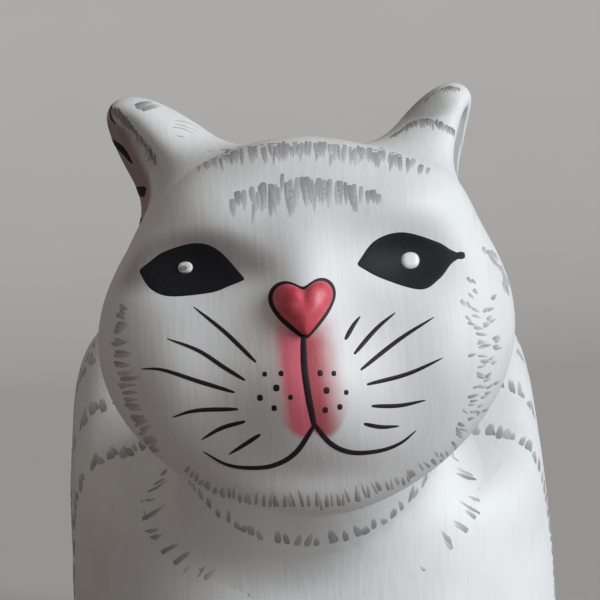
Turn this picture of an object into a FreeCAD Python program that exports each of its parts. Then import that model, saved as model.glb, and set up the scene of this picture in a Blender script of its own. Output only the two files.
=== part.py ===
"""A carved and painted wooden cat figure, lying with its head up, built from the pieces a carver pegs together.

Frame: millimetres, +Z up, the cat faces -Y, and its own left side is at +X. The origin is the middle of the flat
underside that the cat rests on. The torso block carries everything: the head is bored to seat over the neck, the ears,
nose, forelegs and hind paws are set into mortises, and each set-in piece is held by wooden dowels. The tail is the one
piece that comes off: its peg is a push fit in the rump, so that the figure can be packed.

Every carved form is a function of two parameters: a station along the piece and an angle round it. The solid is a loft
through the rings that the function gives, so a changed size moves the surface and everything seated on it.
"""

import math
import os

import FreeCAD, Part
from FreeCAD import Vector

# ---------------------------------------------------------------- driving dimensions, in mm and degrees
# Head: measured at its widest ring, which is the outline of the face.
head_width = 81.6
head_height = 73.8
face_depth = 19.0            # from the widest ring forward to the plain dome of the face
skull_depth = 42.0           # from the widest ring back to the crown
head_centre_height = 96.8
head_reach = 134.0           # the widest ring lies this far in front of the origin
outline_squareness = 0.65    # how far the face outline flattens at the diagonals
temple_fullness = 1.5        # how far the outline swells where the ears grow out
temple_angle = 52.0
temple_spread = 14.0
temple_ridge = 2.4           # on the left side a ridge runs up into the ear
temple_ridge_place = (42.0, 12.0)       # clock angle from level, and spread, in degrees
temple_hollow = 2.0          # on the right side the temple is hollow
temple_hollow_place = (155.0, 28.0)
face_flatness = 2.5          # 2 is a round dome, more is a flatter face
skull_flatness = 2.2

# Relief of the face: name, height, centre (x, z), spread (x, z). Mirrored ones stand on both sides.
face_relief = [
    ("muzzle", 7.0, (0.0, -12.0), (14.0, 12.0), False),
    ("nose_bridge", 3.0, (0.0, 7.0), (6.5, 11.0), False),
    ("eye_socket", -2.8, (21.0, 12.5), (9.5, 6.0), True),
    ("brow", 1.4, (20.0, 23.5), (12.0, 5.5), True),
    ("cheek", 2.2, (27.0, -8.0), (9.0, 11.0), True),
    ("under_lip", -1.6, (0.0, -28.0), (13.0, 4.0), False),
]
relief_fade = 6.0            # the relief dies away towards the outline with this power

# Ears: each grows from the skull towards its tip and is scooped out on the side that faces outwards.
ear_left_seat = 0.80         # how far out the ear starts, as a share of the outline's radius
ear_right_seat = 0.86
ear_depth = 11.0             # the ear's middle line starts this far behind the face's outline
ear_left_clock = 46.0        # where it stands round the outline, in degrees from level
ear_right_clock = 55.0
ear_length = 28.2
ear_left_splay = 26.0        # lean away from the upright, to the side
ear_right_splay = 39.0
ear_rake = 20.0              # lean towards the back
ear_base_width = 8.0
ear_left_thickness = 10.2
ear_right_thickness = 12.4
ear_scoop = 0.70             # depth of the scoop as a share of the ear's radius
ear_scoop_narrowness = 3.0   # more leaves thicker rims beside the scoop
ear_left_turn = 12.0         # the scoop faces outwards and this far to the front
ear_right_turn = 44.0
ear_left_taper = 2.0         # more is a blunter ear
ear_right_taper = 2.6
ear_flare = 0.42             # swell of the base where it meets the skull
ear_root = 6.0               # length of the ear that is let into the head

# Nose: a raised heart, let into the face.
nose_width = 11.8
nose_height = 10.6
nose_centre = 3.9            # above the middle of the face
nose_rise = 3.0              # above the face at its middle
nose_dome_radius = 16.0
nose_root = 3.5              # let into the face

# Torso: a loaf with boxy sections, its flat underside cut at the floor.
torso_length = 190.0
torso_width = 114.0
torso_axis_height = 40.0
shoulder_height = 68.0
back_height = 103.0
rump_height = 92.0
section_squareness = 6.5
end_squareness = 3.2
underside_reach = 5.0        # how far the loaf dips below the floor before it is cut flat
# Muscles of the torso: name, swell, place along the body, height, spread along, spread in height
torso_muscles = [
    ("rump", 4.0, 32.0, 62.0, 52.0, 50.0),
    ("haunch", 6.0, 44.0, 36.0, 31.0, 36.0),
    ("shoulder", 2.5, -62.0, 34.0, 20.0, 24.0),
    ("waist", -3.0, -14.0, 28.0, 24.0, 30.0),
]

# Neck: a tapered stub that grows from the torso and ends inside the head.
neck_radius = 28.0
neck_root_radius = 31.0
neck_root_reach = 46.0       # the neck's axis starts this far in front of the origin
neck_root_height = 53.0
neck_seat_depth = 12.0       # how far the neck is let into the back of the head

# Legs: laid forward, widening into the paw; each rear end is let into the torso.
foreleg_half_width = 13.0
foreleg_paw_half_width = 14.5
foreleg_height = 31.0
foreleg_paw_height = 20.0
foreleg_side = 30.0
foreleg_toe_in = 4.0
foreleg_front = 134.0
foreleg_rear = 62.0
hind_half_width = 11.5
hind_paw_half_width = 12.5
hind_height = 17.0
hind_paw_height = 15.0
hind_side = 46.0
hind_toe_in = -10.0
hind_front = 24.0
hind_rear = -34.0
toe_groove_width = 2.4
toe_groove_depth = 1.8
toes = 4

# Tail: a tapering sweep that climbs from the rump and curls back at the tip.
tail_length = 118.0
tail_root_radius = 10.0
tail_tip_radius = 6.0
tail_climb = 74.0            # how far the tail turns upwards from its start, in degrees
tail_curl = 125.0            # how far the tip then turns back
tail_seat_height = 65.0
tail_seat_depth = 2.0        # how far the seat is faced into the rump
tail_seat_gap = 0.3
seat_margin = 1.0

# Dowels and their bores
dowel_clearance = 0.15
neck_dowel_radius = 6.0
neck_dowel_length = 44.0
ear_peg_radius = 2.0
ear_peg_length = 16.0
leg_peg_radius = 3.0
leg_peg_length = 30.0
leg_peg_depth_in_leg = 14.0
leg_peg_inset = 3.5          # towards the middle of the body from the leg's own middle
tail_peg_radius = 4.5
tail_peg_length = 40.0
tail_peg_in_body = 22.0
tail_peg_clearance = 0.05
bore_end_gap = 1.5

# How finely the lofts are ruled
ring_points = 24
torso_ring_points = 32
face_shares = (0.08, 0.26, 0.44, 0.60, 0.74, 0.86, 0.94, 0.985, 1.0)
skull_shares = (0.985, 0.94, 0.84, 0.68, 0.46, 0.24, 0.08)
ear_rings = 8
torso_closings = (0.10, 0.38, 0.64, 0.83, 0.94, 0.99)
torso_middle_shares = (-0.17, 0.0, 0.17)
corner_crowding = 0.20       # draws the points of a torso ring towards its corners
leg_rings = 10
tail_rings = 17

FULL_TURN = 2.0 * math.pi


# ---------------------------------------------------------------- small helpers
def bell(distance, spread):
    """A smooth bump: 1 in the middle, fading with the square of the distance."""
    return math.exp(-((distance / spread) ** 2))


def signed_power(value, power):
    return math.copysign(abs(value) ** power, value)


def ease(share):
    """0 below 0, 1 above 1, and smooth between them."""
    share = min(1.0, max(0.0, share))
    return share * share * (3.0 - 2.0 * share)


def ring(points):
    """A smooth closed curve; equal steps between its points keep the rings of a loft in line."""
    curve = Part.BSplineCurve()
    steps = [k / len(points) for k in range(len(points) + 1)]
    curve.interpolate(Points=points, PeriodicFlag=True, Parameters=steps)
    return Part.Wire([curve.toShape()])


def turn_points(count):
    return [FULL_TURN * k / count for k in range(count)]


def loft(sections):
    """A solid through rings; a section that is a point closes that end."""
    profiles = [Part.Vertex(s) if isinstance(s, Vector) else ring(s) for s in sections]
    solid = Part.makeLoft(profiles, True, False)
    if solid.Volume < 0:
        solid.reverse()
    return solid


def dowel(centre, direction, radius, length):
    """A round rod centred on a point."""
    axis = Vector(direction).normalize()
    return Part.makeCylinder(radius, length, centre - axis * (length / 2.0), axis)


def bore_for(centre, direction, radius, length, clearance):
    return dowel(centre, direction, radius + clearance, length + 2.0 * bore_end_gap)


def place_on_neck(shape):
    """Carries a shape from the head's own frame to its place on the neck."""
    return shape.translated(Vector(0, -head_reach, head_centre_height))


def degrees_from(angle, place):
    """How far round a ring an angle in radians lies from a place given in degrees."""
    return math.degrees(math.acos(max(-1.0, min(1.0, math.cos(angle - math.radians(place))))))


# ---------------------------------------------------------------- the carved forms
def face_outline(angle):
    """Radius of the head's widest ring: an oval, squared at the diagonals, with full temples."""
    half_width, half_height = head_width / 2.0, head_height / 2.0
    oval = (half_width - half_height) / 2.0 * math.cos(2 * angle)
    square = outline_squareness * math.cos(4 * angle)
    mean = (half_width + half_height) / 2.0 - outline_squareness
    from_temple = math.degrees(math.asin(abs(math.sin(angle)))) - temple_angle
    temple = temple_fullness * bell(from_temple, temple_spread) if math.sin(angle) > 0 else 0.0
    ridge = temple_ridge * bell(degrees_from(angle, temple_ridge_place[0]), temple_ridge_place[1])
    hollow = temple_hollow * bell(degrees_from(angle, temple_hollow_place[0]), temple_hollow_place[1])
    return mean + oval + square + temple + ridge - hollow


def relief(x, z):
    """How far the face stands forward of its plain dome."""
    total = 0.0
    for _name, rise, (cx, cz), (sx, sz), mirrored in face_relief:
        for side in (1.0, -1.0) if mirrored else (1.0,):
            total += rise * bell(math.hypot((x - side * cx) / sx, (z - cz) / sz), 1.0)
    return total


def face_front(x, z):
    """The y of the face over a point of its outline plane."""
    share = min(1.0, math.hypot(x, z) / face_outline(math.atan2(z, x)))
    dome = face_depth * (1.0 - share**face_flatness) ** (1.0 / face_flatness)
    return -dome - relief(x, z) * (1.0 - share**relief_fade)


def face_point(share, angle):
    """share runs from 0 behind the nose to 1 at the outline."""
    radius = share * face_outline(angle)
    x, z = radius * math.cos(angle), radius * math.sin(angle) + (1.0 - share) * nose_centre
    return Vector(x, face_front(x, z), z)


def skull_point(share, angle):
    """share runs from 1 at the outline to 0 at the back of the skull."""
    radius = share * face_outline(angle)
    depth = skull_depth * (1.0 - share**skull_flatness) ** (1.0 / skull_flatness)
    return Vector(radius * math.cos(angle), depth, radius * math.sin(angle))


def ear_shape(side):
    """Place round the outline, lean, turn of the scoop, seat, thickness and taper of one ear."""
    if side > 0:
        return (ear_left_clock, ear_left_splay, ear_left_turn, ear_left_seat,
                ear_left_thickness, ear_left_taper)
    return (ear_right_clock, ear_right_splay, ear_right_turn, ear_right_seat,
            ear_right_thickness, ear_right_taper)


def ear_axes(side):
    """Where the ear stands on the skull, its long axis, the way its scoop faces, and the third axis."""
    clock, splay, turn = [math.radians(angle) for angle in ear_shape(side)[:3]]
    seat = ear_shape(side)[3]
    radius = seat * (face_outline(clock) if side > 0 else face_outline(math.pi - clock))
    base = Vector(side * radius * math.cos(clock), ear_depth, radius * math.sin(clock))
    rake = math.radians(ear_rake)
    axis = Vector(side * math.sin(splay) * math.cos(rake), math.sin(rake), math.cos(splay) * math.cos(rake))
    facing = Vector(side * math.cos(turn), -math.sin(turn), 0)
    outwards = (facing - axis * facing.dot(axis)).normalize()
    return base, axis, outwards, axis.cross(outwards)


def ear_point(side, share, angle):
    """share runs from 0 at the skull to 1 at the tip; the ring is an oval pushed in where the scoop is."""
    base, axis, outwards, across = ear_axes(side)
    thickness, bluntness = ear_shape(side)[4:]
    taper = max(0.0, 1.0 - max(0.0, share) ** bluntness) ** 0.5
    spread = taper * (1.0 + ear_flare * max(0.0, 1.0 - share) ** 3)
    depth_of_scoop = ear_scoop * ease(share / 0.35) * ease((1.02 - share) / 0.35)
    window = max(0.0, math.cos(angle)) ** ear_scoop_narrowness
    radius = spread * (1.0 - depth_of_scoop * window)
    lean = base + axis * (share * ear_length)
    return (lean + outwards * (radius * thickness * math.cos(angle))
            + across * (radius * ear_base_width * math.sin(angle)))


def heart(angle):
    """A soft heart, one unit wide and one high, drawn clockwise from its notch."""
    x = (3.0 * math.sin(angle) - 0.5 * math.sin(3 * angle)) / 7.0
    lobes = 13.0 * math.cos(angle) - 4.0 * math.cos(2 * angle)
    notch = -1.5 * math.cos(3 * angle) - 0.6 * math.cos(4 * angle)
    return x, (lobes + notch + 2.6) / 27.0


def torso_top(along):
    """Height of the back before the ends close."""
    to_shoulder = ease((25.0 - along) / (torso_length / 2.0 + 10.0))
    to_rump = ease((along - 20.0) / (torso_length / 2.0))
    return back_height + (shoulder_height - back_height) * to_shoulder + (rump_height - back_height) * to_rump


def torso_point(share, angle):
    """share runs from -1 at the chest to 1 at the rump."""
    along = share * torso_length / 2.0
    closing = max(0.0, 1.0 - abs(share) ** end_squareness) ** (1.0 / end_squareness)
    half_width, top = torso_width / 2.0, torso_top(along)
    angle -= corner_crowding * math.sin(4 * angle)
    across, up = math.cos(angle), math.sin(angle)
    power = 2.0 / section_squareness
    x = half_width * closing * signed_power(across, power)
    rise = top - torso_axis_height if up > 0 else torso_axis_height + underside_reach
    z = torso_axis_height + rise * closing * signed_power(up, power)
    side = closing * abs(across) ** power
    for _name, swell, place, height, spread_along, spread_up in torso_muscles:
        bump = swell * bell((along - place) / spread_along, 1.0) * bell((z - height) / spread_up, 1.0)
        x += math.copysign(bump * side, across)
    return Vector(x, along, z)


def neck_axis():
    """From the neck's root in the torso to its seat inside the back of the head."""
    root = Vector(0, -neck_root_reach, neck_root_height)
    head_centre = Vector(0, -head_reach, head_centre_height)
    back_of_head = head_centre + Vector(0, skull_depth * 0.72, -head_height * 0.25)
    along = (head_centre - root).normalize()
    end = root + along * ((back_of_head - root).dot(along) + neck_seat_depth)
    return root, along, end


def neck_ring(share):
    root, along, end = neck_axis()
    radius = neck_root_radius + (neck_radius - neck_root_radius) * share
    centre = root + (end - root) * share
    across = Vector(1, 0, 0)
    up = across.cross(along)
    return [centre + across * (radius * math.cos(a)) + up * (radius * math.sin(a)) for a in turn_points(ring_points)]


def leg_point(size, side, share, angle):
    """share runs from 0 at the rear end inside the torso to 1 at the tip of the paw."""
    half_width, paw_half_width, height, paw_height, offset, toe_in, front, rear = size
    y = -(rear + (front - rear) * share)
    paw = ease((share - 0.45) / 0.35)
    closing = max(0.0, 1.0 - share**7) ** 0.42
    width = (half_width + (paw_half_width - half_width) * paw) * closing
    middle = min(height, paw_height) * 0.4
    top = (height + (paw_height - height) * ease(share / 0.8)) - middle
    up = math.sin(angle)
    rise = top * closing if up > 0 else (middle + underside_reach) * closing
    x = side * (offset - toe_in * share) + width * signed_power(math.cos(angle), 0.8)
    return Vector(x, y, middle + rise * signed_power(up, 0.8))


def tail_centreline():
    """Points and headings of the tail's middle line, stepped along its length."""
    steps = 10 * (tail_rings - 1)
    step = tail_length / steps
    seat, axis = tail_seat()
    start = math.atan2(axis.z, axis.y)
    point = seat + axis * tail_seat_gap
    line = []
    for k in range(steps + 1):
        share = k / steps
        climb = tail_climb * ease(share / 0.5) - tail_curl * ease((share - 0.45) / 0.55)
        heading = start + math.radians(climb)
        line.append((point, heading))
        point = point + Vector(0, math.cos(heading), math.sin(heading)) * step
    return line[:: steps // (tail_rings - 1)]


def tail_seat():
    """Where the tail leaves the rump, and the way it points: square to the loaf's end at the seat's height."""
    top = torso_top(torso_length / 2.0)
    closing = (tail_seat_height - torso_axis_height) / (top - torso_axis_height)
    share = (1.0 - closing**end_squareness) ** (1.0 / end_squareness)
    slope = (closing / share) ** (end_squareness - 1.0) * torso_length / 2.0 / (top - torso_axis_height)
    axis = Vector(0, 1, slope).normalize()
    surface = Vector(0, torso_length / 2.0 * share, tail_seat_height)
    return surface - axis * tail_seat_depth, axis


def tail_ring(centre, heading, radius):
    up = Vector(0, -math.sin(heading), math.cos(heading))
    across = Vector(1, 0, 0)
    return [centre + across * (radius * math.cos(a)) + up * (radius * math.sin(a)) for a in turn_points(ring_points)]


# ---------------------------------------------------------------- raw solids
def raw_head():
    """The face's first ring is flat, and hidden behind the nose; the last one is a small flat on the skull."""
    rings = [[face_point(share, a) for a in turn_points(ring_points)] for share in face_shares]
    middle = face_point(0.0, 0.0)
    rings[0] = [Vector(p.x, middle.y, p.z) for p in rings[0]]
    rings += [[skull_point(share, a) for a in turn_points(ring_points)] for share in skull_shares]
    return loft(rings)


def raw_ear(side):
    shares = [-ear_root / ear_length] + [k / ear_rings for k in range(ear_rings)] + [0.95, 0.985]
    rings = [[ear_point(side, s, a) for a in turn_points(ring_points)] for s in shares]
    tip = ear_point(side, 1.0, 0.0)
    return loft(rings + [tip])


def raw_nose():
    """A heart-shaped peg with a domed front, let into the face."""
    front = face_front(0.0, nose_centre) - nose_rise
    back = face_front(0.0, nose_centre) + nose_root
    outline = []
    for angle in turn_points(ring_points):
        x, z = heart(angle)
        outline.append(Vector(x * nose_width, back, nose_centre + z * nose_height))
    prism = Part.Face(ring(outline)).extrude(Vector(0, front - back - nose_rise, 0))
    dome = Part.makeSphere(nose_dome_radius, Vector(0, front + nose_dome_radius, nose_centre))
    return prism.common(dome)


def raw_torso():
    """Rings crowd towards the ends, where the loaf closes; the last ring of each end is a small flat."""
    ends = [(1.0 - closing**end_squareness) ** (1.0 / end_squareness) for closing in torso_closings]
    shares = [-share for share in ends] + list(torso_middle_shares) + ends[::-1]
    return loft([[torso_point(share, a) for a in turn_points(torso_ring_points)] for share in shares])


def raw_neck():
    return loft([neck_ring(k / 6.0) for k in range(7)])


def below_floor():
    reach = 3.0 * torso_length
    return Part.makeBox(2 * reach, 2 * reach, reach, Vector(-reach, -reach, -reach))


def raw_leg(size, side):
    shares = [k / leg_rings for k in range(leg_rings)] + [0.955, 0.985]
    rings = [[leg_point(size, side, s, a) for a in turn_points(ring_points)] for s in shares]
    tip = leg_point(size, side, 1.0, 0.0)
    return loft(rings + [tip]).cut(below_floor())


def toe_grooves(size, side):
    """V-shaped cuts between the toes, run over the front and top of the paw."""
    paw_half_width, paw_height, offset, toe_in, front = size[1], size[3], size[4], size[5], size[6]
    grooves = []
    spacing = 2.0 * paw_half_width * 0.86 / toes
    for k in range(1, toes):
        x = side * (offset - toe_in) + (k - toes / 2.0) * spacing
        half = toe_groove_width / 2.0
        depth = toe_groove_depth
        profile = Part.makePolygon([Vector(x - half, -front - 1, paw_height + 1),
                                    Vector(x + half, -front - 1, paw_height + 1),
                                    Vector(x, -front + depth + 2.5, paw_height * 0.55),
                                    Vector(x - half, -front - 1, paw_height + 1)])
        grooves.append(Part.Face(profile).extrude(Vector(0, 0, -2 * paw_height)))
    return grooves


foreleg_size = (foreleg_half_width, foreleg_paw_half_width, foreleg_height, foreleg_paw_height, foreleg_side,
                foreleg_toe_in, foreleg_front, foreleg_rear)
hind_size = (hind_half_width, hind_paw_half_width, hind_height, hind_paw_height, hind_side,
             hind_toe_in, hind_front, hind_rear)


def tail_solid():
    line = tail_centreline()
    rings = []
    for k, (centre, heading) in enumerate(line[:-1]):
        share = k / (len(line) - 1)
        taper = tail_root_radius + (tail_tip_radius - tail_root_radius) * share
        rings.append(tail_ring(centre, heading, taper * (1.0 - share**9) ** 0.5))
    return loft(rings + [line[-1][0]])


def leg_peg_places(size):
    """Each leg is pegged to the torso by one dowel that lies along it, half in the leg."""
    height, offset, rear = size[2], size[4], size[7]
    centre_y = -(rear + leg_peg_depth_in_leg - leg_peg_length / 2.0)
    return [Vector(side * (offset - leg_peg_inset), centre_y, height * 0.42) for side in (1.0, -1.0)]


def save(shape, name):
    shape = shape.removeSplitter() if len(shape.Solids) > 1 else shape
    solids = shape.Solids
    done = solids[0] if len(solids) == 1 else Part.makeCompound(solids)
    done.exportStep(os.path.join("parts", name + ".step"))
    box = done.BoundBox
    print(f"{name}: {len(solids)} solid(s), {done.Volume / 1000:.1f} cm3, valid {done.isValid()}, "
          f"x {box.XMin:.1f}..{box.XMax:.1f} y {box.YMin:.1f}..{box.YMax:.1f} z {box.ZMin:.1f}..{box.ZMax:.1f}")


# ---------------------------------------------------------------- the pieces
def build():
    os.makedirs("parts", exist_ok=True)
    along_y = Vector(0, 1, 0)

    neck_root, neck_along, neck_end = neck_axis()
    neck = raw_neck()
    ears = {side: raw_ear(side) for side in (1.0, -1.0)}
    nose = raw_nose()
    ear_pegs, ear_bores = [], []
    for side in (1.0, -1.0):
        base, axis, _outwards, _across = ear_axes(side)
        middle = base - axis * ear_root
        ear_pegs.append(dowel(middle, axis, ear_peg_radius, ear_peg_length))
        ear_bores.append(bore_for(middle, axis, ear_peg_radius, ear_peg_length, dowel_clearance))

    head = raw_head()
    for cutter in [*ears.values(), nose, *ear_bores]:
        head = head.cut(cutter)
    head = place_on_neck(head).cut(neck)
    head = head.cut(bore_for(neck_end, neck_along, neck_dowel_radius, neck_dowel_length, dowel_clearance))
    save(head, "head")
    for side, name in ((1.0, "ear_left"), (-1.0, "ear_right")):
        ear = ears[side]
        for bore in ear_bores:
            ear = ear.cut(bore)
        save(place_on_neck(ear), name)
    save(place_on_neck(Part.makeCompound(ear_pegs)), "ear_pegs")
    save(place_on_neck(nose), "nose")
    save(dowel(neck_end, neck_along, neck_dowel_radius, neck_dowel_length), "neck_dowel")

    torso = raw_torso().cut(below_floor()).fuse(neck)
    legs = {}
    for name, size in (("foreleg", foreleg_size), ("hind_paw", hind_size)):
        places = leg_peg_places(size)
        pegs = [dowel(p, along_y, leg_peg_radius, leg_peg_length) for p in places]
        bores = [bore_for(p, along_y, leg_peg_radius, leg_peg_length, dowel_clearance) for p in places]
        for side, label in ((1.0, "left"), (-1.0, "right")):
            whole = raw_leg(size, side)
            torso = torso.cut(whole)
            leg = whole
            for cutter in toe_grooves(size, side) + bores:
                leg = leg.cut(cutter)
            legs[f"{name}_{label}"] = leg
        for bore in bores:
            torso = torso.cut(bore)
        legs[f"{name}_pegs"] = Part.makeCompound(pegs)
    for name, shape in legs.items():
        save(shape, name)

    seat, axis = tail_seat()
    spot_face = Part.makeCylinder(tail_root_radius + seat_margin, torso_length / 4.0, seat, axis)
    peg_middle = seat + axis * (tail_peg_length / 2.0 - tail_peg_in_body)
    socket = Part.makeCylinder(tail_peg_radius + tail_peg_clearance, tail_peg_in_body + bore_end_gap,
                               seat - axis * (tail_peg_in_body + bore_end_gap), axis)
    torso = torso.cut(spot_face).cut(socket)
    torso = torso.cut(bore_for(neck_end, neck_along, neck_dowel_radius, neck_dowel_length, dowel_clearance))
    save(torso, "torso")
    save(tail_solid().cut(bore_for(peg_middle, axis, tail_peg_radius, tail_peg_length, dowel_clearance)), "tail")
    save(dowel(peg_middle, axis, tail_peg_radius, tail_peg_length), "tail_peg")


build()
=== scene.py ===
# %% [markdown]
# # A carved and painted wooden cat
#
# The figure is whittled from soft wood, smoothed, primed white and painted by hand: a broad white face with black
# almond eyes, a raised heart of a nose, a pink muzzle, and rows of small grey fur strokes. Here every carved form is a
# surface worked out from a formula, and every brush stroke is a thin skin of paint laid on that surface.
#
# We start with the fixed frame: the pieces at their real size and place. All our own numbers are millimetres in that
# frame, with Z up, the cat facing -Y and the viewer's right at +X.

import bmesh
import bpy
import numpy as np
from mathutils import Matrix, Vector


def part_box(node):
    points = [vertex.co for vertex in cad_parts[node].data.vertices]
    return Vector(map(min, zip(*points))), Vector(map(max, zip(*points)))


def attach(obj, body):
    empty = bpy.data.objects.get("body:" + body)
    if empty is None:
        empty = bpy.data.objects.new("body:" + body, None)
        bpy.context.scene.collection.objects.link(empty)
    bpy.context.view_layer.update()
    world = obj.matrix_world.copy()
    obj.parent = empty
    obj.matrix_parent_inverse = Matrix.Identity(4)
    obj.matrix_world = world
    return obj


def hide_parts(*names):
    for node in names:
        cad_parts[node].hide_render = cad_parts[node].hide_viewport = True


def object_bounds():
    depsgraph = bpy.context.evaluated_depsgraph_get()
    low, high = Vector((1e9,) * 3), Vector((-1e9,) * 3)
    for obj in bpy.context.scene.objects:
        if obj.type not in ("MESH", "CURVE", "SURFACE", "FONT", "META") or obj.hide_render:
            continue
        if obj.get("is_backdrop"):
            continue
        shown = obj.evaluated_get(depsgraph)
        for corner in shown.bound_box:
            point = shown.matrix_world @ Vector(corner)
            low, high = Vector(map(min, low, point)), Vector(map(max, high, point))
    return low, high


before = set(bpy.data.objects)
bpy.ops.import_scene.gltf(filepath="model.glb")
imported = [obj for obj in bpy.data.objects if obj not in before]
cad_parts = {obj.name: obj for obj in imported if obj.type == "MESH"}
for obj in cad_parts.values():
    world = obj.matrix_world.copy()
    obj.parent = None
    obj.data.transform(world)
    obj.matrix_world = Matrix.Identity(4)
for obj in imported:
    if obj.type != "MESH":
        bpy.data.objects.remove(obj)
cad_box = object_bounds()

MM = 0.001
SHARP_EDGE = np.radians(40)


def box_mm(node):
    """Lowest and highest corner of a fixed piece, in millimetres."""
    low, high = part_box(node)
    return np.array(low) / MM, np.array(high) / MM


HEAD_LOW, HEAD_HIGH = box_mm("head")
print("head spans", HEAD_LOW.round(1), "to", HEAD_HIGH.round(1))

# %% [markdown]
# ## From formula to mesh
#
# A carved form is a grid of points: its rows are rings round the piece and its columns run along it. One helper turns
# such a grid into a closed mesh. It joins the last column to the first, closes each end with a fan round the middle of
# the end ring, and turns the faces outwards by looking at the sign of the volume that they enclose.

# %% Faces and meshes


def ring_faces(rows, columns):
    """Four-sided faces of a tube of rings, as vertex numbers."""
    r, c = np.meshgrid(np.arange(rows - 1), np.arange(columns), indexing="ij")
    nxt = (c + 1) % columns
    return np.stack([r * columns + c, r * columns + nxt, (r + 1) * columns + nxt, (r + 1) * columns + c], -1)


def fill_mesh(name, points, quads, triangles=None):
    """A mesh from arrays: points in millimetres, faces as vertex numbers."""
    faces = quads.reshape(-1, 4).tolist()
    if triangles is not None:
        faces += triangles.tolist()
    mesh = bpy.data.meshes.new(name)
    mesh.from_pydata(points.reshape(-1, 3) * MM, [], faces)
    mesh.shade_smooth()
    mesh.set_sharp_from_angle(angle=SHARP_EDGE)
    return mesh


def placed(name, data):
    """An object of the scene that holds a mesh, a lamp or a camera."""
    made = bpy.data.objects.new(name, data)
    bpy.context.scene.collection.objects.link(made)
    return made


# %% A tube from a grid


def volume_sign(points, quads):
    """Positive when the faces look outwards: the sum of each face's part of the enclosed volume."""
    a, b, c, d = (points[quads[:, k]] for k in range(4))
    return np.sign(np.einsum("ij,ij->i", a, np.cross(b, c)).sum() + np.einsum("ij,ij->i", a, np.cross(c, d)).sum())


def tube(grid):
    """A closed skin over a grid of rings (rows, columns, 3): points, four-sided faces and the fans at both ends."""
    rows, columns = grid.shape[:2]
    ends = np.stack([grid[0].mean(0), grid[-1].mean(0)])
    points = np.concatenate([grid.reshape(-1, 3), ends])
    quads = ring_faces(rows, columns).reshape(-1, 4)
    c = np.arange(columns)
    nxt = (c + 1) % columns
    first, last = rows * columns, rows * columns + 1
    start = np.stack([np.full(columns, first), nxt, c], -1)
    finish = np.stack([np.full(columns, last), c + (rows - 1) * columns, nxt + (rows - 1) * columns], -1)
    fans = np.concatenate([start, finish])
    if volume_sign(points - points.mean(0), quads) < 0:
        quads, fans = quads[:, ::-1], fans[:, ::-1]
    return points, quads, fans


# %% [markdown]
# Several tubes can share one mesh. We use such a mesh in two ways: as a plain block, on which other surfaces settle
# and which is taken out again, and as a finished piece, which moves with a body and stands for its fixed nodes.

# %% Blocks and carved pieces


def block(name, grids):
    """One object made of a tube for each grid: each tube's faces count on from the points before it."""
    points, quads, fans = zip(*(tube(grid) for grid in grids))
    starts = np.cumsum([0, *(len(part) for part in points[:-1])])
    quads = [part + start for part, start in zip(quads, starts)]
    fans = [part + start for part, start in zip(fans, starts)]
    return placed(name, fill_mesh(name, np.concatenate(points), np.concatenate(quads), np.concatenate(fans)))


def carved(name, body, stands_for, grids):
    """One finished piece of one or more tubes, riding on a body and standing for its fixed nodes."""
    piece = block(name, grids)
    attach(piece, body)
    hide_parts(*stands_for)
    print(name, "has", len(piece.data.polygons), "faces")
    return piece


# %% A soft step and a soft bump


def ease(share):
    """0 below 0, 1 above 1, smooth between: 3 s squared less 2 s cubed."""
    share = np.clip(share, 0.0, 1.0)
    return share * share * (3.0 - 2.0 * share)


def bell(distance):
    """1 in the middle, fading as e to the minus distance squared."""
    return np.exp(-(distance**2))


# %% [markdown]
# ## The head
#
# The face is a shallow dome over an outline, and the skull a deeper one behind it. The outline is an oval whose
# radius swells at the temples, where the ears grow out. On the dome stands the relief: a full muzzle, the bridge of
# the nose, hollows for the eyes, brows and cheeks, each a soft bump, and all of them fade out towards the outline.
# Because the front is a height over the face's plane, a painted line that we draw flat can be dropped onto it exactly.

# %% Shape of the head
HALF_WIDTH = 40.8
HALF_HEIGHT = 36.9
SKULL_DEPTH = 42.0
FACE_DEPTH = 19.0
HEAD_MIDDLE = np.array([0.0, -134.0, 96.8])
NOSE_CENTRE = 3.9
FACE_FLATNESS = 2.5
SKULL_FLATNESS = 2.2
SQUARENESS = 0.65
TEMPLES = (1.5, 52.0, 14.0)  # size, degrees above the level, spread in degrees
RIDGE = (2.4, 42.0, 12.0)  # size, degrees round the outline, spread in degrees
HOLLOW = (2.0, 155.0, 28.0)
RELIEF = [  # height, centre (x, z), spread (x, z), on both sides
    (7.0, (0.0, -12.0), (14.0, 12.0), False),
    (3.0, (0.0, 7.0), (6.5, 11.0), False),
    (-2.8, (21.0, 12.5), (9.5, 6.0), True),
    (1.4, (20.0, 23.5), (12.0, 5.5), True),
    (2.2, (27.0, -8.0), (9.0, 11.0), True),
    (-1.6, (0.0, -28.0), (13.0, 4.0), False),
]


def degrees_from(angle, place):
    """How far round the ring an angle lies from a place given in degrees."""
    return np.degrees(np.arccos(np.clip(np.cos(angle - np.radians(place)), -1.0, 1.0)))


def outline(angle):
    """Radius of the head's widest ring: mean + oval part x cos(2a) + squareness x cos(4a) + swells at the temples.

    The carver's hand shows: on the viewer's right a ridge runs up into the ear, on the left the temple is hollow."""
    above_level = np.degrees(np.arcsin(np.abs(np.sin(angle))))
    temple = np.where(np.sin(angle) > 0, TEMPLES[0] * bell((above_level - TEMPLES[1]) / TEMPLES[2]), 0.0)
    ridge = RIDGE[0] * bell(degrees_from(angle, RIDGE[1]) / RIDGE[2])
    hollow = HOLLOW[0] * bell(degrees_from(angle, HOLLOW[1]) / HOLLOW[2])
    mean = (HALF_WIDTH + HALF_HEIGHT) / 2 - SQUARENESS
    oval = (HALF_WIDTH - HALF_HEIGHT) / 2 * np.cos(2 * angle) + SQUARENESS * np.cos(4 * angle)
    return mean + oval + temple + ridge - hollow


# %% The face over its outline


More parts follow.
